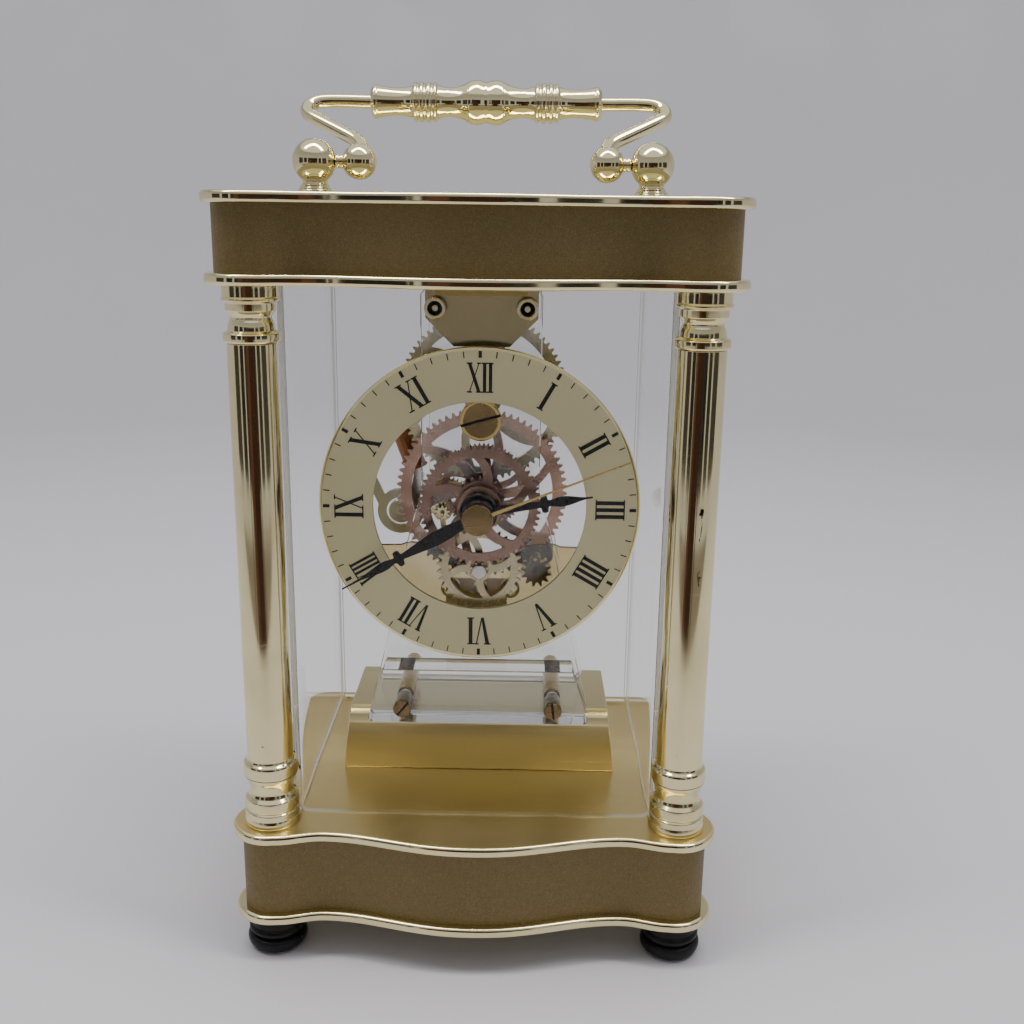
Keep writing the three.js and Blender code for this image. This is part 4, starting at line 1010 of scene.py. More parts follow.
@dataclass
class Handle:
    """The swinging bail with its turned grip, and the two posts that carry it."""

    post_x: float = 47.7
    pivot_z: float = 225.6
    ball_r: float = 6.2
    small_x: float = 35.0
    small_r: float = 4.95
    lean: float = 52.0
    rise: float = 29.5
    rod_r: float = 2.05
    grip_half: float = 34.2

    def sphere(self, name: str, radius: float, x: float) -> Piece:
        """A turned ball on the pivot line."""
        profile = [(max(0.0, radius * math.sin(math.pi * i / 36)), -radius * math.cos(math.pi * i / 36))
                   for i in range(37)]
        return Shop.turned(name, profile, (x, 0, self.pivot_z), Way.X, 56, 0)

    def post(self) -> Piece:
        """The right post: a flange, a neck and a ball."""
        z = ROOF + 0.02
        profile = [(0, z), (6.8, z), (6.85, z + 0.3), (6.3, z + 0.6), (5.0, z + 0.8), (4.6, z + 1.2),
                   (4.6, z + 1.6), (4.1, z + 1.9),
                   (4.15, z + 2.4), (3.6, z + 2.8), (3.5, z + 3.4), (3.8, z + 4.2), (0, z + 4.4)]
        neck = Shop.turned("neck", profile, (self.post_x, 0, 0), Way.Z, 64, 0.15)
        return Shop.joined("post", [neck, self.sphere("ball", self.ball_r, self.post_x)])

    def rod_line(self) -> list[Corner]:
        """The rod's centre line, from one small ball to the other."""
        c, s = math.cos(math.radians(self.lean)), math.sin(math.radians(self.lean))
        half = [(35.0, 1.5), (35.0, 5.5), (35.5, 8.2), (37.4, 10.6), (41.5, 13.9), (46.5, 17.8),
                (50.4, 20.9), (52.3, 22.9),
                (52.9, 25.0), (52.2, 27.2), (50.2, 28.9), (47.0, 29.6), (42.0, 29.7), (34.0, self.rise),
                (15.0, self.rise)]
        right = [(x, up * s, self.pivot_z + up * c) for x, up in half]
        return flowing(right + [(-x, y, z) for x, y, z in reversed(right)], 6)

    def grip(self) -> Piece:
        """The turned grip: beads and hollows either side of a middle bulb.

        Returns:
            The grip.
        """
        half = [(5.9, 0.0), (5.95, 0.5), (6.3, 1.4), (6.45, 2.6), (6.4, 3.9), (6.1, 5.0), (5.95, 5.2),
                (5.85, 5.5), (5.3, 6.4),
                (4.6, 8.2), (4.2, 10.4), (4.3, 12.4), (4.8, 13.9), (5.0, 14.5), (5.6, 14.7), (5.75, 15.2),
                (5.35, 15.8),
                (5.3, 16.2), (5.8, 16.7), (5.85, 17.4), (5.35, 18.0), (5.3, 18.3), (5.8, 18.8),
                (5.85, 19.4), (5.35, 19.9),
                (5.3, 20.3), (5.7, 20.7), (5.6, 21.3), (4.9, 21.6), (4.5, 22.6), (4.1, 24.8), (4.0, 27.0),
                (4.2, 29.2),
                (4.55, 31.2), (4.75, 32.2), (4.95, 32.5), (4.95, 33.2), (4.6, 33.5), (4.0, self.grip_half),
                (2.06, self.grip_half)]
        line = [(r, -x) for r, x in reversed(half)] + [(r, x) for r, x in half[1:]]
        c, s = math.cos(math.radians(self.lean)), math.sin(math.radians(self.lean))
        return Shop.turned("grip_turning", line, (0, self.rise * s, self.pivot_z + self.rise * c), Way.X,
                           72, 0.25)

    def pin(self) -> Piece:
        """The right pivot pin with its bright collar."""
        profile = [(0, 0), (0.9, 0), (0.9, 7.0), (1.95, 7.4), (1.95, 8.4), (1.75, 8.5), (1.75, 8.8),
                   (1.95, 8.9), (1.95, 9.6),
                   (0.9, 9.65), (0.9, 14.6), (0, 14.6)]
        return Shop.turned("pin", profile, (self.small_x - 3.2, 0, self.pivot_z), Way.X, 40, 0.15)

    def build(self) -> None:
        """Makes the posts and pins on the case, and the bail with its grip on the handle."""
        mirror = Matrix.Scale(-1, 4, Vector((1, 0, 0)))
        for part, node, make in (("post", "handle_post", self.post), ("pin", "pivot_pin", self.pin)):
            right = make()
            left = Shop.tidy(Shop.again(right, f"{part}_left", mirror))
            right.name = right.data.name = f"{part}_right"
            Shop.dress(left, GOLD, "case", "polished_gold", f"{node}_left")
            Shop.dress(right, GOLD, "case", "polished_gold", f"{node}_right")
        balls = [self.sphere("ball", self.small_r, side * self.small_x) for side in (-1, 1)]
        bail = Shop.joined("bail_rod", [Shop.pipe("rod", self.rod_line(), self.rod_r), *balls])
        Shop.dress(bail, GOLD, "handle", "polished_gold", "bail")
        Shop.dress(self.grip(), GOLD, "handle", "polished_gold", "handle_grip")


@dataclass
class Pedestal:
    """The drawn metal stand for the movement, and the clear block in front of it."""

    top: float = 60.9
    front: float = -5.9
    rear: float = 32.4
    bend: float = 4.6

    def build(self) -> None:
        """Makes the stand and the block with its two slotted screws."""
        z0 = DECK_TOP + 0.05
        side = [(self.front, z0)]
        side += [(self.front + self.bend + polar(self.bend, 180 - 7.5 * i)[0],
                  self.top - self.bend + polar(self.bend, 180 - 7.5 * i)[1])
                 for i in range(13)]
        side += [(self.rear - self.bend + polar(self.bend, 90 - 7.5 * i)[0],
                  self.top - self.bend + polar(self.bend, 90 - 7.5 * i)[1])
                 for i in range(13)]
        side.append((self.rear, z0))
        stand = Shop.slab("stand", side, -50.0, 100.0, Way.X)
        for sign in (-1, 1):
            Shop.pick(stand)
            bpy.ops.object.mode_set(mode="EDIT")
            bpy.ops.mesh.select_all(action="SELECT")
            bpy.ops.mesh.bisect(plane_co=(sign * 42.7 * MM, 0, DECK_TOP * MM),
                                plane_no=Vector((sign * 20.15, 0, 2.1)).normalized(),
                                clear_outer=True, use_fill=True)
            bpy.ops.object.mode_set(mode="OBJECT")
        Shop.soften(Shop.tidy(stand), 0.35, 3)
        Shop.dress(stand, SATIN, "case", "brushed_gold", "pedestal_housing")
        plan = [(-32.6, 61.2), (32.6, 61.2), (33.6, 62.4), (28.8, 78.5), (-28.8, 78.5), (-33.6, 62.4)]
        block = Shop.slab("clear_block", plan, -15.6, 10.0, Way.Y, 0.3, 2)
        holes = [Shop.turned("hole", [(0, 0), (2.4, 0), (2.4, 12), (0, 12)], (s * SCREW_X, -16.6, SCREW_Z),
                             Way.Y, 32, 0) for s in (-1, 1)]
        Shop.dress(Shop.cut(block, holes), CLEAR, "case", "clear_acrylic", "name_block")
        Shop.face_finish(block, DARK_GOLD, lambda f: min(off_line(f, x, SCREW_Z)
                                                         for x in (-SCREW_X, SCREW_X)) < 2.45)
        block.visible_shadow = block.visible_diffuse = False
        for sign, word, tilt in ((-1, "left", -52.0), (1, "right", 82.0)):
            head = [(0, 0), (2.4, 0), (2.7, 0.3), (2.75, 0.6), (2.75, 2.3), (2.3, 2.6), (2.3, 12.6),
                    (1.5, 12.6), (1.5, 14.6), (0, 14.6)]
            place = (sign * SCREW_X, -18.3, SCREW_Z)
            screw = Shop.turned("screw", head, place, Way.Y, 48, 0.12)
            slot = Shop.slab("slot", [(-4, -0.32), (4, -0.32), (4, 0.32), (-4, 0.32)], -1.0, 1.8, Way.Y)
            Shop.moved(slot, Matrix.Translation(Vector(place) * MM) @ Shop.turn(tilt, Way.Y))
            Shop.dress(Shop.cut(screw, [slot]), DARK_GOLD, "case", "polished_gold", f"foot_screw_{word}")
            # painted shade: the slot's walls and floor are painted black
            Shop.face_finish(screw, INK_AND_SLOT_SHADE, lambda f, x=sign * SCREW_X: (
                -18.2 < f.center.y / MM < -17.45 and off_line(f, x, SCREW_Z) < 2.3))
            screw.name = screw.data.name = f"block_screw_{word}"


@dataclass
class MovementFrame:
    """The clear plates, the gold bracket that holds them at the top, and their pillars and screws."""

    front_y: float = -5.3
    back_y: float = 22.5
    thick: float = 3.0

    def plan(self) -> list[Point]:
        """The outline of both clear plates."""
        half = [(33.2, 61.2), (33.6, 63.4), (28.6, 84), (25.5, 100), (22.0, 116), (17.6, 132),
                (17.6, 189.4), (15.8, 191.5)]
        return half + [(-x, z) for x, z in reversed(half)]

    def hole(self, x: float, z: float, radius: float) -> Piece:
        """A drill from front to back."""
        return Shop.turned("drill", [(0, 0), (radius, 0), (radius, 80), (0, 80)], (x, -30, z), Way.Y, 28, 0)

    def plates(self) -> None:
        """The two clear plates."""
        front = Shop.slab("clear_front", self.plan(), self.front_y, self.thick, Way.Y, 0.2, 1)
        Shop.cut(front, [self.hole(x, z, r) for x, z, r in (
            (0, AXIS_Z, 2.2), (0, 153.5, 2.3), (0, AXIS_Z - 20.06, 1.5), (13.2, 185.7, 2.1),
                                                            (-13.2, 185.7, 2.1),
            (22.8, 66.6, 1.8), (-22.8, 66.6, 1.8))])
        Shop.dress(front, CLEAR, "case", "clear_acrylic", "front_plate")
        back = Shop.slab("clear_back", self.plan(), self.back_y, self.thick, Way.Y, 0.2, 1)
        Shop.cut(back, [self.hole(x, z, 1.6) for x,
                        z in ((13.2, 185.7), (-13.2, 185.7), (22.8, 66.6), (-22.8, 66.6),
                                                          (17.27, AXIS_Z - 24.67))])
        Shop.dress(back, CLEAR, "case", "clear_acrylic", "back_plate")
        for sheet in (front, back):
            # painted highlight: the plates' cut edges are pale and opaque for the bright look of lit acrylic edges
            Shop.face_finish(sheet, PALE_EDGE_HIGHLIGHT, lambda f: abs(f.normal.y) < 0.5)
            sheet.visible_shadow = sheet.visible_diffuse = False

    def bracket(self) -> None:
        """The folded gold bracket."""
        face = [(16.4, 193.2), (16.4, 182.6), (8.2, 174.4)]
        plan = face + [(-x, z) for x, z in reversed(face)]
        leaf = Shop.slab("leaf", plan, -2.0, 1.3, Way.Y, 0.18)
        Shop.cut(leaf, [self.hole(s * 13.2, 185.7, 2.1) for s in (-1, 1)])
        folds = [Shop.slab("fold", [(x0, z0), (x1, z0), (x1, z1), (x0, z1)], y, d, Way.Y, 0.18) for x0, x1,
                 z0, z1, y, d in (
            (-16.4, 16.4, 191.8, 193.2, -7.2, 34.0), (-13.2, 13.2, 189.2, 192.2, -7.2, 1.5),
                                  (-16.4, 16.4, 180.0, 193.2, 25.8, 1.3))]
        Shop.dress(Shop.joined("gold_bracket", [leaf, *folds]), OLIVE_GOLD, "case", "polished_gold",
                   "top_bracket")

    def pillars(self) -> None:
        """The upper pillars with hollow heads, and the lower ones."""
        tall = [(0, 1.3), (0.9, 1.3), (0.9, 3.8), (2.05, 3.8), (2.05, 0.2), (2.3, 0), (2.75, 0),
                (3.1, 0.35), (3.1, 4.4), (1.8, 4.4),
                (1.8, 8.2), (2.4, 8.2), (2.4, 30.4), (1.3, 30.4), (1.3, 36.4), (0, 36.4)]
        low = [(0, 0), (2.6, 0), (2.6, 24.5), (1.3, 24.5), (1.3, 28.9), (0, 28.9)]
        for sign, word in ((-1, "left"), (1, "right")):
            top = Shop.turned(f"socket_pillar_{word}", tall, (sign * 13.2, -8.5, 185.7), Way.Y, 40, 0.1)
            Shop.dress(top, WHEEL_GOLD, "case", "bright_steel", f"upper_pillar_{word}")
            # painted shade: the hollow round the pin in each socket head is painted black for the shade that falls
            # inside it
            Shop.face_finish(top, RUBBER_AND_GROOVE_SHADE, lambda f, x=sign * 13.2: (
                f.center.y < -4.6 * MM and 0.85 < off_line(f, x, 185.7) < 2.08
                and f.center.y > -8.4 * MM and not (f.center.y < -7.1 * MM
                                                    and off_line(f, x, 185.7) < 0.9)))
            bottom = Shop.turned(f"low_pillar_{word}", low, (sign * SCREW_X, -2.0, SCREW_Z), Way.Y, 32, 0.2)
            Shop.dress(bottom, DEEP_GOLD, "case", "polished_gold", f"lower_pillar_{word}")

    def boss(self) -> None:
        """The large slotted gold screw above the hands."""
        profile = [(0, 0.25), (4.7, 0.25), (5.0, 0.2), (5.2, 0.0), (5.75, 0.0), (6.1, 0.4), (6.1, 2.4),
                   (2.0, 2.4), (2.0, 7.0), (0, 7.0)]
        place = (0, -8.0, BOSS_Z)
        screw = Shop.turned("slotted_boss", profile, place, Way.Y, 72, 0.12)
        slot = Shop.slab("slot", [(-8, -0.42), (8, -0.42), (8, 0.42), (-8, 0.42)], -1.0, 1.9, Way.Y)
        Shop.moved(slot, Matrix.Translation(Vector(place) * MM) @ Shop.turn(-16.0, Way.Y))
        Shop.dress(Shop.cut(screw, [slot]), DEEP_GOLD, "case", "polished_gold", "boss_screw")
        Shop.face_finish(screw, DARK_GOLD, lambda f: off_line(f, 0, BOSS_Z) < 5.0)
        # painted shade: the slot's walls and floor are painted black
        Shop.face_finish(screw, INK_AND_SLOT_SHADE, lambda f: -7.7 < f.center.y / MM < -7.05
                         and off_line(f, 0, BOSS_Z) < 5.0)

    def bridge(self) -> None:
        """The crescent bridge below the wheels, with its rings."""
        arc = [polar(36, 206 + 4.267 * i) for i in range(31)]
        cut = [(24.6, -15.6), (21.5, -14.4), (10.4, -15.4), (8.6, -18.8), (-8.6, -18.8), (-10.4, -15.4),
               (-21.5, -14.4), (-24.6, -15.6)]
        crescent = Shop.slab("crescent", [(x, z + AXIS_Z) for x, z in arc + cut], 0.6, 2.0, Way.Y, 0.25, 2)
        Shop.dress(crescent, TINTED, "case", "amber_acrylic", "lower_bridge")
        crescent.visible_shadow = crescent.visible_diffuse = False
        rings = [Shop.turned("ring", [(r, 0), (r, 3.0), (r - 0.8, 3.0), (r - 0.8, 0)],
                             (x, -0.2, AXIS_Z - 28.6), Way.Y, 32, 0.12)
                 for x, r in ((-9.2, 3.0), (0, 2.2), (9.2, 3.0))]
        legs = [Shop.turned("leg", [(0, 0), (1.3, 0), (1.3, 5.0), (0, 5.0)], (x, -1.6, AXIS_Z - 21.4),
                            Way.Y, 24, 0.15) for x in (-6.2, 6.2)]
        Shop.dress(Shop.joined("bridge_rings", rings + legs), PALE_GOLD, "case", "polished_gold")

    def build(self) -> None:
        """Makes the frame of the movement."""
        self.plates()
        self.bracket()
        self.pillars()
        self.boss()
        self.bridge()


@dataclass
class Dial:
    """The open chapter ring with its rim, minute marks and roman numerals."""

    y: float = -12.6
    rim: float = 47.1
    hole: float = 31.3
    low: float = 34.0
    high: float = 42.6
    lift: float = 0.03

    def ring(self) -> None:
        """The ring, with a bright bevelled rim, and its studs."""
        face = [(self.hole, 0.12), (46.15, 0.05), (46.2, 0.0), (46.85, 0.12), (self.rim, 0.5),
                (self.rim, 1.5), (self.hole, 1.5)]
        ring = Shop.turned("dial_ring", face, (0, self.y, AXIS_Z), Way.Y, 160, 0.05)
        Shop.dress(ring, DIAL, "case", "dial_face", "chapter_ring")
        Shop.face_finish(ring, GOLD, lambda f: math.hypot(f.center.x,
                                                          f.center.z - AXIS_Z * MM) > 46.25 * MM)
        studs = []
        for angle in (70, 110, 235, 305):
            x, z = polar(37.5, angle)
            studs.append(Shop.turned("stud", [(0, 0), (1.4, 0), (1.4, 5.5), (0, 5.5)],
                                     (x, self.y + 1.48, AXIS_Z + z), Way.Y, 24, 0.15))
        Shop.dress(Shop.joined("dial_studs", studs), PALE_GOLD, "case", "polished_gold")

    def mark(self, low: float, high: float, width: float) -> Piece:
        """A printed bar at twelve, between two radii."""
        return Shop.slab("mark", [(-width / 2, low), (width / 2, low), (width / 2, high),
                                  (-width / 2, high)],
                         self.y - self.lift, self.lift + 0.1, Way.Y)

    def minutes(self) -> None:
        """Sixty thin marks, with a bold one at each hour."""
        thin, bold = self.mark(44.05, 45.9, 0.32), self.mark(43.95, 45.9, 0.95)
        marks = []
        for i in range(60):
            lie = Matrix.Translation((0, 0, AXIS_Z * MM)) @ Shop.turn(6.0 * i, Way.Y)
            marks.append(Shop.again(bold if i % 5 == 0 else thin, "mark", lie))
        for master in (thin, bold):
            bpy.data.objects.remove(master, do_unlink=True)
        Shop.dress(Shop.joined("minute_marks", marks), INK_AND_SLOT_SHADE, "case", "black_hand")

    def strokes(self, letter: str) -> tuple[float, list[list[Point]]]:
        """The width and the filled strokes of one letter, on a height of one.

        Args:
            letter: the letter.

        Returns:
            Its width and its strokes.
        """
        serif, thick, thin = 0.045, 0.135, 0.04
        if letter == "I":
            w = 0.24
            bars = [[(-thick / 2, 0), (thick / 2, 0), (thick / 2, 1), (-thick / 2, 1)]]
            feet = [(-w / 2, w / 2)]
            heads = feet
        elif letter == "V":
            w = 0.56
            bars = [[(-0.06, 0), (0.03, 0), (-0.13, 1), (-0.27, 1)],
                    [(-0.02, 0), (0.03, 0), (0.22, 1), (0.18, 1)]]
            feet, heads = [], [(-0.31, -0.07), (0.11, 0.28)]
        else:
            w = 0.60
            bars = [[(0.13, 0), (0.27, 0), (-0.13, 1), (-0.27, 1)],
                    [(-0.22, 0), (-0.18, 0), (0.22, 1), (0.18, 1)]]
            feet, heads = [(-0.29, -0.09), (0.07, 0.31)], [(-0.31, -0.07), (0.11, 0.28)]
        bars += [[(a, 0), (b, 0), (b, serif), (a, serif)] for a, b in feet]
        bars += [[(a, 1 - serif), (b, 1 - serif), (b, 1), (a, 1)] for a, b in heads]
        return w, bars

    def numeral(self, text: str, hour: int, fit: float) -> Piece:
        """One numeral with its head outwards, no wider than a fit.

        Args:
            text: the numeral.
            hour: its hour.
            fit: the most width that it may take.

        Returns:
            The numeral.
        """
        tall = self.high - self.low
        widths = [self.strokes(letter)[0] * tall for letter in text]
        squeeze = min(1.0, fit / sum(widths))
        x, slabs = -sum(widths) * squeeze / 2, []
        for letter, width in zip(text, widths):
            middle = x + width * squeeze / 2
            for k, bar in enumerate(self.strokes(letter)[1]):
                plan = [(middle + u * tall * squeeze, self.low + v * tall) for u, v in bar]
                slabs.append(Shop.slab("stroke", plan, self.y - self.lift - 0.0015 * k, self.lift + 0.1,
                                       Way.Y))
            x += width * squeeze
        piece = Shop.joined(f"numeral_{hour}", slabs)
        return Shop.moved(piece, Matrix.Translation((0, 0, AXIS_Z * MM)) @ Shop.turn(30.0 * hour, Way.Y))

    def build(self) -> None:
        """Makes the ring and all that is printed on it."""
        self.ring()
        self.minutes()
        texts = ["I", "II", "III", "IIII", "V", "VI", "VII", "VIII", "IX", "X", "XI", "XII"]
        numerals = [self.numeral(text, hour + 1, 7.6) for hour, text in enumerate(texts)]
        Shop.dress(Shop.joined("roman_numerals", numerals), INK_AND_SLOT_SHADE, "case", "black_hand")


@dataclass
class Hands:
    """The hour, minute and second hands, each on its own arbor."""

    hour_at: float = 81.0
    minute_at: float = 240.0
    second_at: float = 68.0

    def blade(self, name: str, half: Sequence[Point], y: float, thick: float, at: float,
              soft: float) -> Piece:
        """A symmetric blade pointing at a dial angle."""
        plan = list(half) + [(-x, z) for x, z in reversed(half)]
        piece = Shop.slab(name, plan, y, thick, Way.Y, soft, 2)
        return Shop.moved(piece, Matrix.Translation((0, 0, AXIS_Z * MM)) @ Shop.turn(at, Way.Y))

    def build(self) -> None:
        """Makes the three hands with their hubs."""
        hour = [(1.45, 4.4), (1.2, 12), (0.95, 17.9), (1.3, 18.15), (2.4, 18.3), (2.7, 19.2), (2.4, 20.1),
                (1.3, 20.25), (0.85, 20.5),
                *flowing([(1.1, 22.0), (1.5, 24.0), (1.3, 26.5), (0.65, 29.2)], 3), (0.3, 31.0),
                (0.25, 33.2)]
        blade = self.blade("hour_blade", hour, -18.4, 0.6, self.hour_at, 0.12)
        hub = Shop.turned("hour_hub", [(3.3, 0.2), (3.6, 0), (5.2, 0), (5.5, 0.3), (5.5, 3.4), (3.3, 3.4),
                                       (3.3, 0.2)],
                          (0, -19.4, AXIS_Z), Way.Y, 64, 0.1)
        Shop.dress(Shop.joined("black_hour_hand", [blade, hub]), HAND_BLACK, "hour_pipe", "black_hand",
                   "hour_hand")
        minute = [(1.35, 3.6), (2.0, 10), (2.1, 14.5), (1.35, 21), (0.85, 25.1), (1.2, 25.35), (2.15, 25.5),
                  (2.5, 26.4),
                  (2.15, 27.3), (1.2, 27.45), (0.75, 27.7),
                  *flowing([(0.95, 29.0), (1.35, 31.0), (1.15, 34.0), (0.5, 38.0)], 3),
                  (0.3, 40.0), (0.22, 45.6)]
        blade = self.blade("minute_blade", minute, -21.4, 0.6, self.minute_at, 0.12)
        hub = Shop.turned("minute_hub", [(1.9, 0.0), (4.4, 0), (4.7, 0.3), (4.7, 4.9), (1.9, 4.9),
                                         (1.9, 0.0)],
                          (0, -24.8, AXIS_Z), Way.Y, 64, 0.1)
        Shop.dress(Shop.joined("black_minute_hand", [blade, hub]), HAND_BLACK, "minute_arbor", "black_hand",
                   "minute_hand")
        second = [(0.55, 4.0), (0.3, 20), (0.22, 46.2)]
        blade = self.blade("second_blade", second, -26.3, 0.5, self.second_at, 0.08)
        cap = Shop.turned("second_cap", [(0, 0), (3.6, 0), (4.2, 0.15), (4.4, 0.5), (4.4, 2.3), (1.1, 2.4),
                                         (1.1, 1.2), (0, 1.2)],
                          (0, -27.6, AXIS_Z), Way.Y, 64, 0.12)
        hand = Shop.dress(Shop.joined("gold_second_hand", [blade, cap]), DEEP_GOLD, "seconds_arbor",
                          "gold_hand", "second_hand")
        Shop.face_finish(hand, DARK_GOLD, lambda f: off_line(f, 0, AXIS_Z) < 4.3)


@dataclass
class Wheel:
    """One toothed wheel with curved spokes."""

    teeth: int
    module: float
    phase: float
    y: float
    thick: float
    bore: float
    spokes: int = 0
    hub: float = 4.0
    rim: float = 2.0
    sweep: float = 18.0
    width: float = 2.6

    def outline(self) -> list[Point]:
        """The toothed edge, with a flat top and rounded flanks on every tooth."""
        pitch = self.module * self.teeth / 2
        outer, root, step = pitch + 0.82 * self.module, pitch - 1.02 * self.module, 360 / self.teeth
        shape = ((root, -0.30), (root + 0.7 * self.module, -0.235), (pitch + 0.25 * self.module, -0.16),
                 (outer, -0.07),
                 (outer, 0.07), (pitch + 0.25 * self.module, 0.16), (root + 0.7 * self.module, 0.235),
                 (root, 0.30))
        return [polar(r, self.phase + (i + a) * step) for i in range(self.teeth) for r, a in shape]

    def window(self, k: int) -> list[Point]:
        """The gap between two curved spokes.

        Args:
            k: which window, counted round.

        Returns:
            Its corners.
        """
        root = self.module * self.teeth / 2 - 1.02 * self.module
        far, rows, start, end = root - self.rim, 8, 360 * k / self.spokes, 360 * (k + 1) / self.spokes
        loop: list[Point] = []

        def edge(i: int, base: float, sign: int) -> Point:
            """A point on one side of the window."""
            r = self.hub + (far - self.hub) * i / rows
            return polar(r, base + sign * math.degrees(self.width / 2 / r) + self.sweep * (i / rows) ** 1.4)

        loop += [edge(i, start, 1) for i in range(rows + 1)]
        half = math.degrees(self.width / 2 / far)
        loop += [polar(far, start + half + self.sweep + (end - start - 2 * half) * i / 12)
                 for i in range(1, 12)]
        loop += [edge(i, end, -1) for i in range(rows, -1, -1)]
        loop += [polar(self.hub, end - (end - start) * i / 4) for i in range(1, 4)]
        return loop

    def build(self, name: str, x: float = 0.0, z: float = 0.0) -> Piece:
        """The wheel at its place.

        Args:
            name: its name.
            x: where it stands, across.
            z: where it stands, up.

        Returns:
            The wheel.
        """
        piece = Shop.slab(name, self.outline(), self.y, self.thick, Way.Y)
        cutters = [Shop.slab("window", self.window(k), self.y - 1, self.thick + 2, Way.Y)
                   for k in range(self.spokes)]
        if self.bore:
            cutters.append(Shop.turned("bore", [(0, 0), (self.bore, 0), (self.bore, 8), (0, 8)],
                                       (0, self.y - 2, 0), Way.Y, 32, 0))
        if cutters:
            Shop.cut(piece, cutters)
        return Shop.moved(piece, Matrix.Translation(Vector((x, 0, AXIS_Z + z)) * MM))


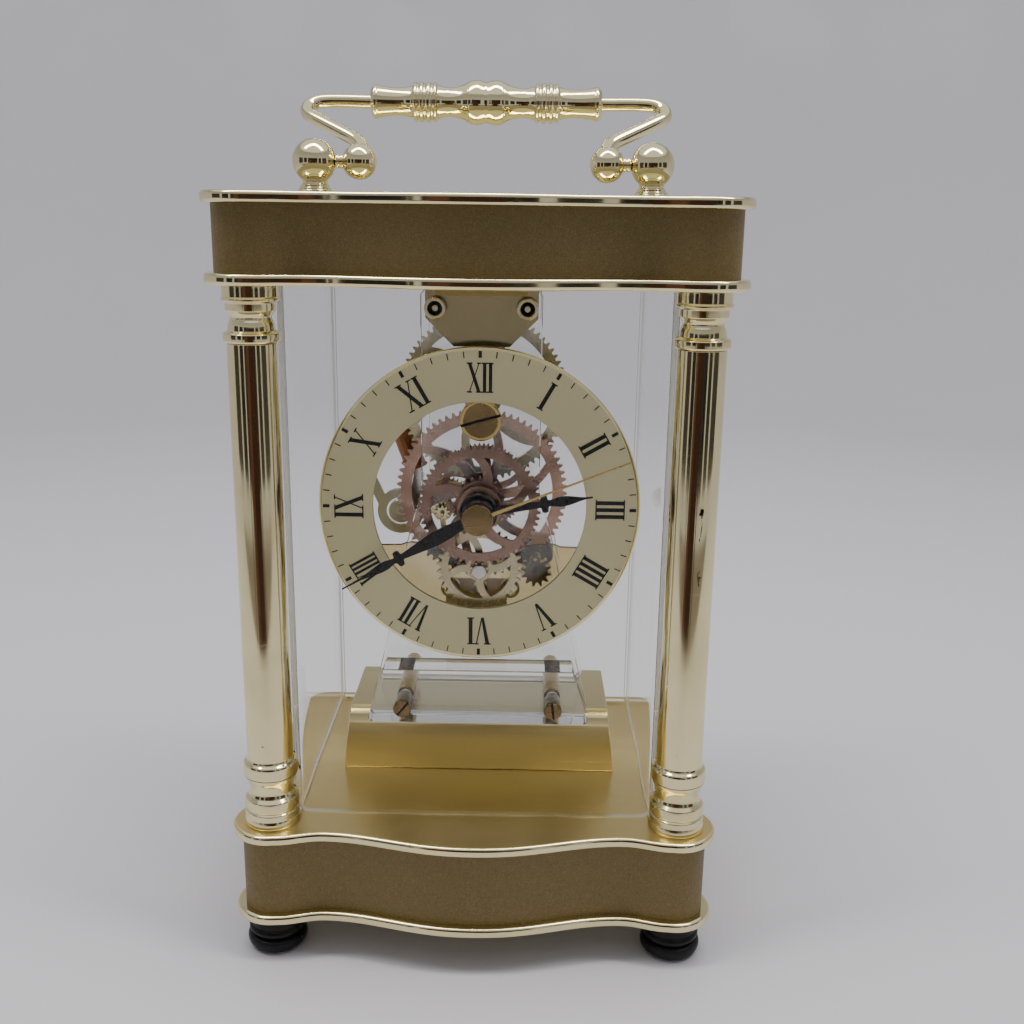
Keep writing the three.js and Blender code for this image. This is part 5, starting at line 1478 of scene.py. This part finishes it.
@dataclass
class Train:
    """The motion work behind the dial and the going train behind it."""

    module: float = 0.717
    third_z: float = 29.0385
    motion_z: float = -20.06
    hour_module: float = 0.59
    step_module: float = 0.45

    @staticmethod
    def gap(line: float, teeth: int) -> float:
        """The phase of a pinion with a gap on the line of centres."""
        return line + 180 + 180 / teeth

    def arbor(self, profile: Sequence[Point], y: float, x: float = 0.0, z: float = 0.0,
              soft: float = 0.12) -> Piece:
        """A turned arbor at its place."""
        return Shop.turned("arbor", profile, (x, y, AXIS_Z + z), Way.Y, 40, soft)

    def motion_work(self) -> None:
        """The hour wheel with its pipe, and the motion wheel on its stud."""
        gear = Wheel(60, self.hour_module, -90, -10.2, 1.2, 2.5, 5, 7.4, 2.5, 20, 3.0).build("hour_gear")
        pipe = self.arbor([(1.9, 0), (3.0, 0), (3.0, 3.6), (6.3, 3.7), (6.6, 4.0), (6.6, 6.2), (1.9, 7.0),
                           (1.9, 0)], -16.9)
        Shop.dress(Shop.joined("hour_wheel_work", [gear, pipe]), DARK_COPPER, "hour_pipe", "copper_wheel",
                   "hour_wheel")
        cannon = 2 * 20.06 / 52
        wheel = Wheel(32, cannon, self.gap(-90, 32), -7.7, 1.0, 1.3, 4, 4.0, 2.0, 14,
                      2.2).build("motion_gear", 0, self.motion_z)
        pinion = Wheel(8, self.hour_module, self.gap(-90, 8), -10.6, 3.1, 1.3).build("motion_leaf", 0,
                                                                                     self.motion_z)
        Shop.dress(Shop.joined("motion_wheel_work", [wheel, pinion]), WHEEL_GOLD, "motion", "copper_wheel",
                   "motion_wheel")
        stud = self.arbor([(0, 0), (1.9, 0), (2.2, 0.3), (2.2, 0.9), (0.9, 0.9), (0.9, 6.4), (1.2, 6.4),
                           (1.2, 9.4), (0, 9.4)], -11.9, 0, self.motion_z)
        Shop.dress(stud, STEEL, "case", "bright_steel", "motion_stud")
        stud.name = stud.data.name = "motion_post"

    def centre(self) -> None:
        """The large copper centre wheel on the minute arbor."""
        gear = Wheel(72, self.module, 90, 6.6, 1.4, 1.2, 6, 6.6, 3.2, 22, 3.0).build("centre_gear")
        cannon = Wheel(20, 2 * 20.06 / 52, -90, -7.9, 1.4, 1.2).build("cannon_gear")
        pipe = self.arbor([(0.95, 0), (1.55, 0), (1.55, 33.3), (0.95, 33.3), (0.95, 0)], -24.4, soft=0.05)
        collar = self.arbor([(1.2, 0), (3.3, 0), (3.6, 0.3), (3.6, 3.2), (1.2, 3.2), (1.2, 0)], 5.6)
        Shop.dress(Shop.joined("centre_wheel_work", [gear, cannon, pipe, collar]), COPPER, "minute_arbor",
                   "copper_wheel", "centre_wheel")

    def third(self) -> None:
        """The third wheel, seen above the dial."""
        module = 2 * self.third_z / 85
        gear = Wheel(75, module, -90, 12.2, 1.4, 0.9, 6, 6.0, 3.0, 20, 2.8).build("third_gear", 0,
                                                                                  self.third_z)
        pinion = Wheel(9, self.module, self.gap(90, 9), 5.8, 3.0, 0).build("third_leaf", 0, self.third_z)
        arbor = self.arbor([(0, 0), (0.7, 0), (0.7, 1.6), (1.2, 1.6), (1.2, 22.2), (0.7, 22.2), (0.7, 23.8),
                            (0, 23.8)], -1.7, 0, self.third_z)
        Shop.dress(Shop.joined("third_wheel_work", [gear, pinion, arbor]), WHEEL_GOLD, "third",
                   "gold_wheel", "third_wheel")

    def seconds(self) -> None:
        """The seconds wheel and the step wheel, with their pinions."""
        module = 2 * self.third_z / 85
        pinion = Wheel(10, module, self.gap(-90, 10), 11.6, 2.6, 0).build("seconds_leaf")
        gear = Wheel(60, self.step_module, 215, 16.4, 1.0, 0.5, 5, 3.6, 2.0, 16, 2.2).build("seconds_gear")
        arbor = self.arbor([(0, 0), (0.65, 0), (0.65, 48), (0, 48)], -26.2)
        Shop.dress(Shop.joined("seconds_wheel_work", [pinion, gear, arbor]), COPPER, "seconds_arbor",
                   "copper_wheel", "seconds_wheel")
        x, z = polar(self.step_module * 35, 215)
        leaf = Wheel(10, self.step_module, self.gap(215, 10), 15.9, 2.0, 0).build("step_leaf", x, z)
        gear = Wheel(50, self.step_module, 180, 19.2, 0.9, 0.5, 4, 3.2, 1.8, 14, 1.8).build("step_gear", x,
                                                                                            z)
        arbor = self.arbor([(0, 0), (0.7, 0), (0.7, 8), (0, 8)], 14.0, x, z)
        Shop.dress(Shop.joined("step_wheel_work", [leaf, gear, arbor]), PALE_GOLD, "step", "polished_gold",
                   "step_wheel")
        rx = x - self.step_module * 30
        leaf = Wheel(10, self.step_module, self.gap(180, 10), 18.7, 1.8, 0).build("rotor_leaf", rx, z)
        magnet = self.arbor([(0, 0), (3.7, 0), (3.9, 0.2), (3.9, 2.0), (3.7, 2.2), (0, 2.2)], 16.6, rx, z)
        arbor = self.arbor([(0, 0), (0.6, 0), (0.6, 7.8), (0, 7.8)], 14.0, rx, z)
        Shop.dress(Shop.joined("rotor_work", [leaf, magnet, arbor]), STEEL, "rotor_shaft", "bright_steel",
                   "rotor")

    def setting(self) -> None:
        """The setting arbor with its knurled knob."""
        x, z = polar(self.module * 42, -55)
        leaf = Wheel(12, self.module, self.gap(-55, 12), 5.8, 3.0, 0).build("setting_leaf", x, z)
        arbor = self.arbor([(0, 0), (1.2, 0), (1.2, 23.2), (5.4, 23.2), (0, 23.2)], 3.4, x, z)
        knob = Wheel(44, 0.26, 0.0, 26.7, 3.6, 0).build("setting_knurl", x, z)
        dome = self.arbor([(0, 0), (5.2, 0), (5.0, 0.6), (3.0, 0.9), (0, 0.95)], 30.25, x, z)
        Shop.dress(Shop.joined("setting_work", [leaf, arbor, knob, dome]), PALE_GOLD, "setting_knob",
                   "polished_gold", "set_arbor")

    def build(self) -> None:
        """Makes every wheel."""
        self.motion_work()
        self.centre()
        self.third()
        self.seconds()
        self.setting()


@dataclass
class Electrics:
    """The coil on its stator, the board and the battery bay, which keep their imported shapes."""

    def dress_node(self, node: str, finish: Finish, soft: float = 0.15) -> None:
        """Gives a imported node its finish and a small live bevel.

        Args:
            node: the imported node.
            finish: the finish to give.
            soft: the width of the bevel.
        """
        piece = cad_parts[node]
        piece.data.materials.clear()
        piece.data.materials.append(finish.material())
        weld = piece.modifiers.new("Weld", "WELD")
        weld.merge_threshold = 1e-5
        bevel = piece.modifiers.new("Bevel", "BEVEL")
        bevel.width, bevel.segments, bevel.limit_method, bevel.angle_limit = soft * MM, 2, "ANGLE", math.radians(40)
        LOG.info("%s keeps its shape", node)

    def build(self) -> None:
        """Dresses what stays as packed."""
        for node, finish in (("battery_cover", RUBBER_AND_GROOVE_SHADE), ("battery_tray", RUBBER_AND_GROOVE_SHADE), ("battery_cell", JACKET),
                             ("battery_contacts", STEEL),
                             ("coil", WINDING), ("stator", STEEL), ("circuit_board", BOARD),
                             ("door_pin_top", GOLD),
                             ("door_pin_bottom", GOLD)):
            self.dress_node(node, finish)


@dataclass
class Studio:
    """The pale floor, the soft lights, the dark card that polished metal mirrors, and the camera."""

    eye: Corner = (12.13, -330.19, 210.88)
    lens: float = 39.36
    table_end: float = -372.0
    room_r: float = 1150.0
    wall_top: float = 470.0
    figure_top: float = 240.0
    walls: tuple[tuple[float, float, Corner], ...] = (
        (-75, -52, (0.05, 0.045, 0.045)), (-46, -30, (0.02, 0.02, 0.022)), (-25, 0, (0.03, 0.028, 0.03)),
                                                      (0, 24, (0.02, 0.02, 0.022)),
        (29, 44, (0.03, 0.03, 0.03)), (50, 75, (0.05, 0.05, 0.05)))
    figures: tuple[tuple[float, float, Corner], ...] = (
        (-205, -190, (0.03, 0.03, 0.03)), (-150, -78, (0.11, 0.05, 0.04)), (-78, 70, (0.045, 0.022, 0.016)),
                                                        (92, 110, (0.05, 0.04, 0.04)))

    def camera(self) -> None:
        """The camera, tipped down and turned a little."""
        yaw, pitch, roll = -0.008, math.radians(14.728), 0.014
        forward = Vector((math.sin(yaw) * math.cos(pitch), math.cos(yaw) * math.cos(pitch),
                          -math.sin(pitch)))
        right = Vector((math.cos(yaw), -math.sin(yaw), 0.0))
        up = right.cross(forward)
        side = right * math.cos(roll) + up * math.sin(roll)
        over = up * math.cos(roll) - right * math.sin(roll)
        data = bpy.data.cameras.new("camera")
        data.lens, data.sensor_width = self.lens, 36.0
        data.clip_start, data.clip_end = 0.01, 50.0
        camera = bpy.data.objects.new("camera", data)
        camera.matrix_world = Matrix.Translation(Vector(self.eye) * MM) @ Matrix((side, over,
                -forward)).transposed().to_4x4()
        bpy.context.collection.objects.link(camera)
        bpy.context.scene.camera = camera

    def lamp(self, name: str, place: Corner, aim: Corner, size: Point, watts: float,
             colour: Corner = (1, 1, 1)) -> None:
        """A soft oblong lamp; place, aim and size are metres.

        Args:
            name: its name.
            place: where it hangs, in metres.
            aim: where it points, in metres.
            size: its width and length in metres.
            watts: its power.
            colour: its colour.
        """
        data = bpy.data.lights.new(name, "AREA")
        data.shape = "RECTANGLE"
        data.size, data.size_y, data.energy, data.color = size[0], size[1], watts, colour
        lamp = bpy.data.objects.new(name, data)
        lamp.location = place
        lamp.rotation_euler = (Vector(aim) - Vector(place)).to_track_quat("-Z", "Y").to_euler()
        bpy.context.collection.objects.link(lamp)

    def floor(self) -> None:
        """A pale floor that curves up into a round backdrop."""
        line = [(0.0, 0.0), (900.0, 0.0), *[(900 + 600 * math.sin(a), 600 - 600 * math.cos(a)) for a in
                                           (math.radians(7.5 * i) for i in range(1, 12))], (1500.0, 620.0),
                (1500.0, 1500.0)]
        Shop.clear()
        floor = Shop.wire("floor", [(r, 0.0, h) for r, h in line])
        Shop.pick(floor)
        bpy.ops.object.mode_set(mode="EDIT")
        bpy.ops.mesh.select_all(action="DESELECT")
        bpy.ops.object.mode_set(mode="OBJECT")
        for edge in floor.data.edges:
            edge.select = set(edge.vertices) == {0, len(line) - 1}
        bpy.ops.object.mode_set(mode="EDIT")
        bpy.ops.mesh.select_mode(type="EDGE")
        bpy.ops.mesh.delete(type="EDGE_FACE")
        bpy.ops.mesh.select_all(action="SELECT")
        bpy.ops.mesh.spin(steps=72, angle=2 * math.pi, center=(0, 0, 0), axis=(0, 0, 1))
        bpy.ops.mesh.select_all(action="SELECT")
        bpy.ops.mesh.remove_doubles(threshold=1e-5)
        bpy.ops.mesh.select_mode(type="VERT")
        bpy.ops.object.mode_set(mode="OBJECT")
        bpy.ops.object.shade_smooth()
        finish = Finish("pale_table", (0.52, 0.51, 0.53), 0.0, 0.42, 0.5, (0.50, 0.49, 0.51), 0.5, 6.0,
                        0.00001)
        floor.data.materials.append(finish.material())

    def card(self, name: str, corners: Sequence[Corner], colour: Corner) -> None:
        """A card that only reflections see; corners are millimetres.

        Args:
            name: its name.
            corners: its corners in millimetres.
            colour: its colour.
        """
        card = Shop.wire(name, corners, filled=True)
        material = bpy.data.materials.new(name)
        material.use_nodes = True
        shader = material.node_tree.nodes["Principled BSDF"]
        shader.inputs["Base Color"].default_value = (*colour, 1)
        shader.inputs["Roughness"].default_value = 0.9
        shader.inputs["Specular IOR Level"].default_value = 0.1
        card.data.materials.append(material)
        card.visible_camera = card.visible_diffuse = card.visible_shadow = card.visible_transmission = False

    def room(self) -> None:
        """What stands in front of the clock and shows in its polish: a dim room beyond the table's edge."""
        self.card("room_floor", [(-1050, -1050, 1), (1050, -1050, 1), (1050, self.table_end, 1),
                                 (-1050, self.table_end, 1)],
                  (0.16, 0.14, 0.13))
        for i, (start, end, colour) in enumerate(self.walls):
            a, b = ((self.room_r * math.sin(math.radians(t)), -self.room_r * math.cos(math.radians(t)))
                    for t in (start, end))
            self.card(f"room_wall_{i}", [(*a, 0), (*b, 0), (*b, self.wall_top), (*a, self.wall_top)],
                      colour)
        y = self.table_end - 3
        for i, (left, right, colour) in enumerate(self.figures):
            self.card(f"room_figure_{i}", [(left, y, 0), (right, y, 0), (right, y, self.figure_top),
                                           (left, y, self.figure_top)], colour)

    def world(self) -> None:
        """A pale even sky."""
        world = bpy.data.worlds.new("studio")
        world.use_nodes = True
        world.node_tree.nodes["Background"].inputs[0].default_value = (0.92, 0.93, 1.0, 1)
        world.node_tree.nodes["Background"].inputs[1].default_value = 0.9
        bpy.context.scene.world = world

    def build(self) -> None:
        """Sets out the studio."""
        self.camera()
        self.world()
        self.floor()
        self.lamp("left_overhead", (-0.30, -0.12, 1.2), (0, 0, 0.1), (0.22, 0.8), 9.0, (1.0, 0.98, 0.95))
        self.lamp("right_overhead", (0.34, -0.12, 1.2), (0, 0, 0.1), (0.22, 0.8), 9.0, (1.0, 0.98, 0.95))
        self.room()


def main() -> None:
    """Builds the studio and every sub-assembly in order."""
    logging.basicConfig(level=logging.INFO, format="%(name)s: %(message)s")
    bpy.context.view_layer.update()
    for part in (Studio(), Case(), Columns(), Cover(), Handle(), Pedestal(), MovementFrame(), Dial(),
                 Hands(), Train(), Electrics()):
        LOG.info("building %s", type(part).__name__)
        part.build()
    Shop.clear()


if __name__ == "__main__":
    main()
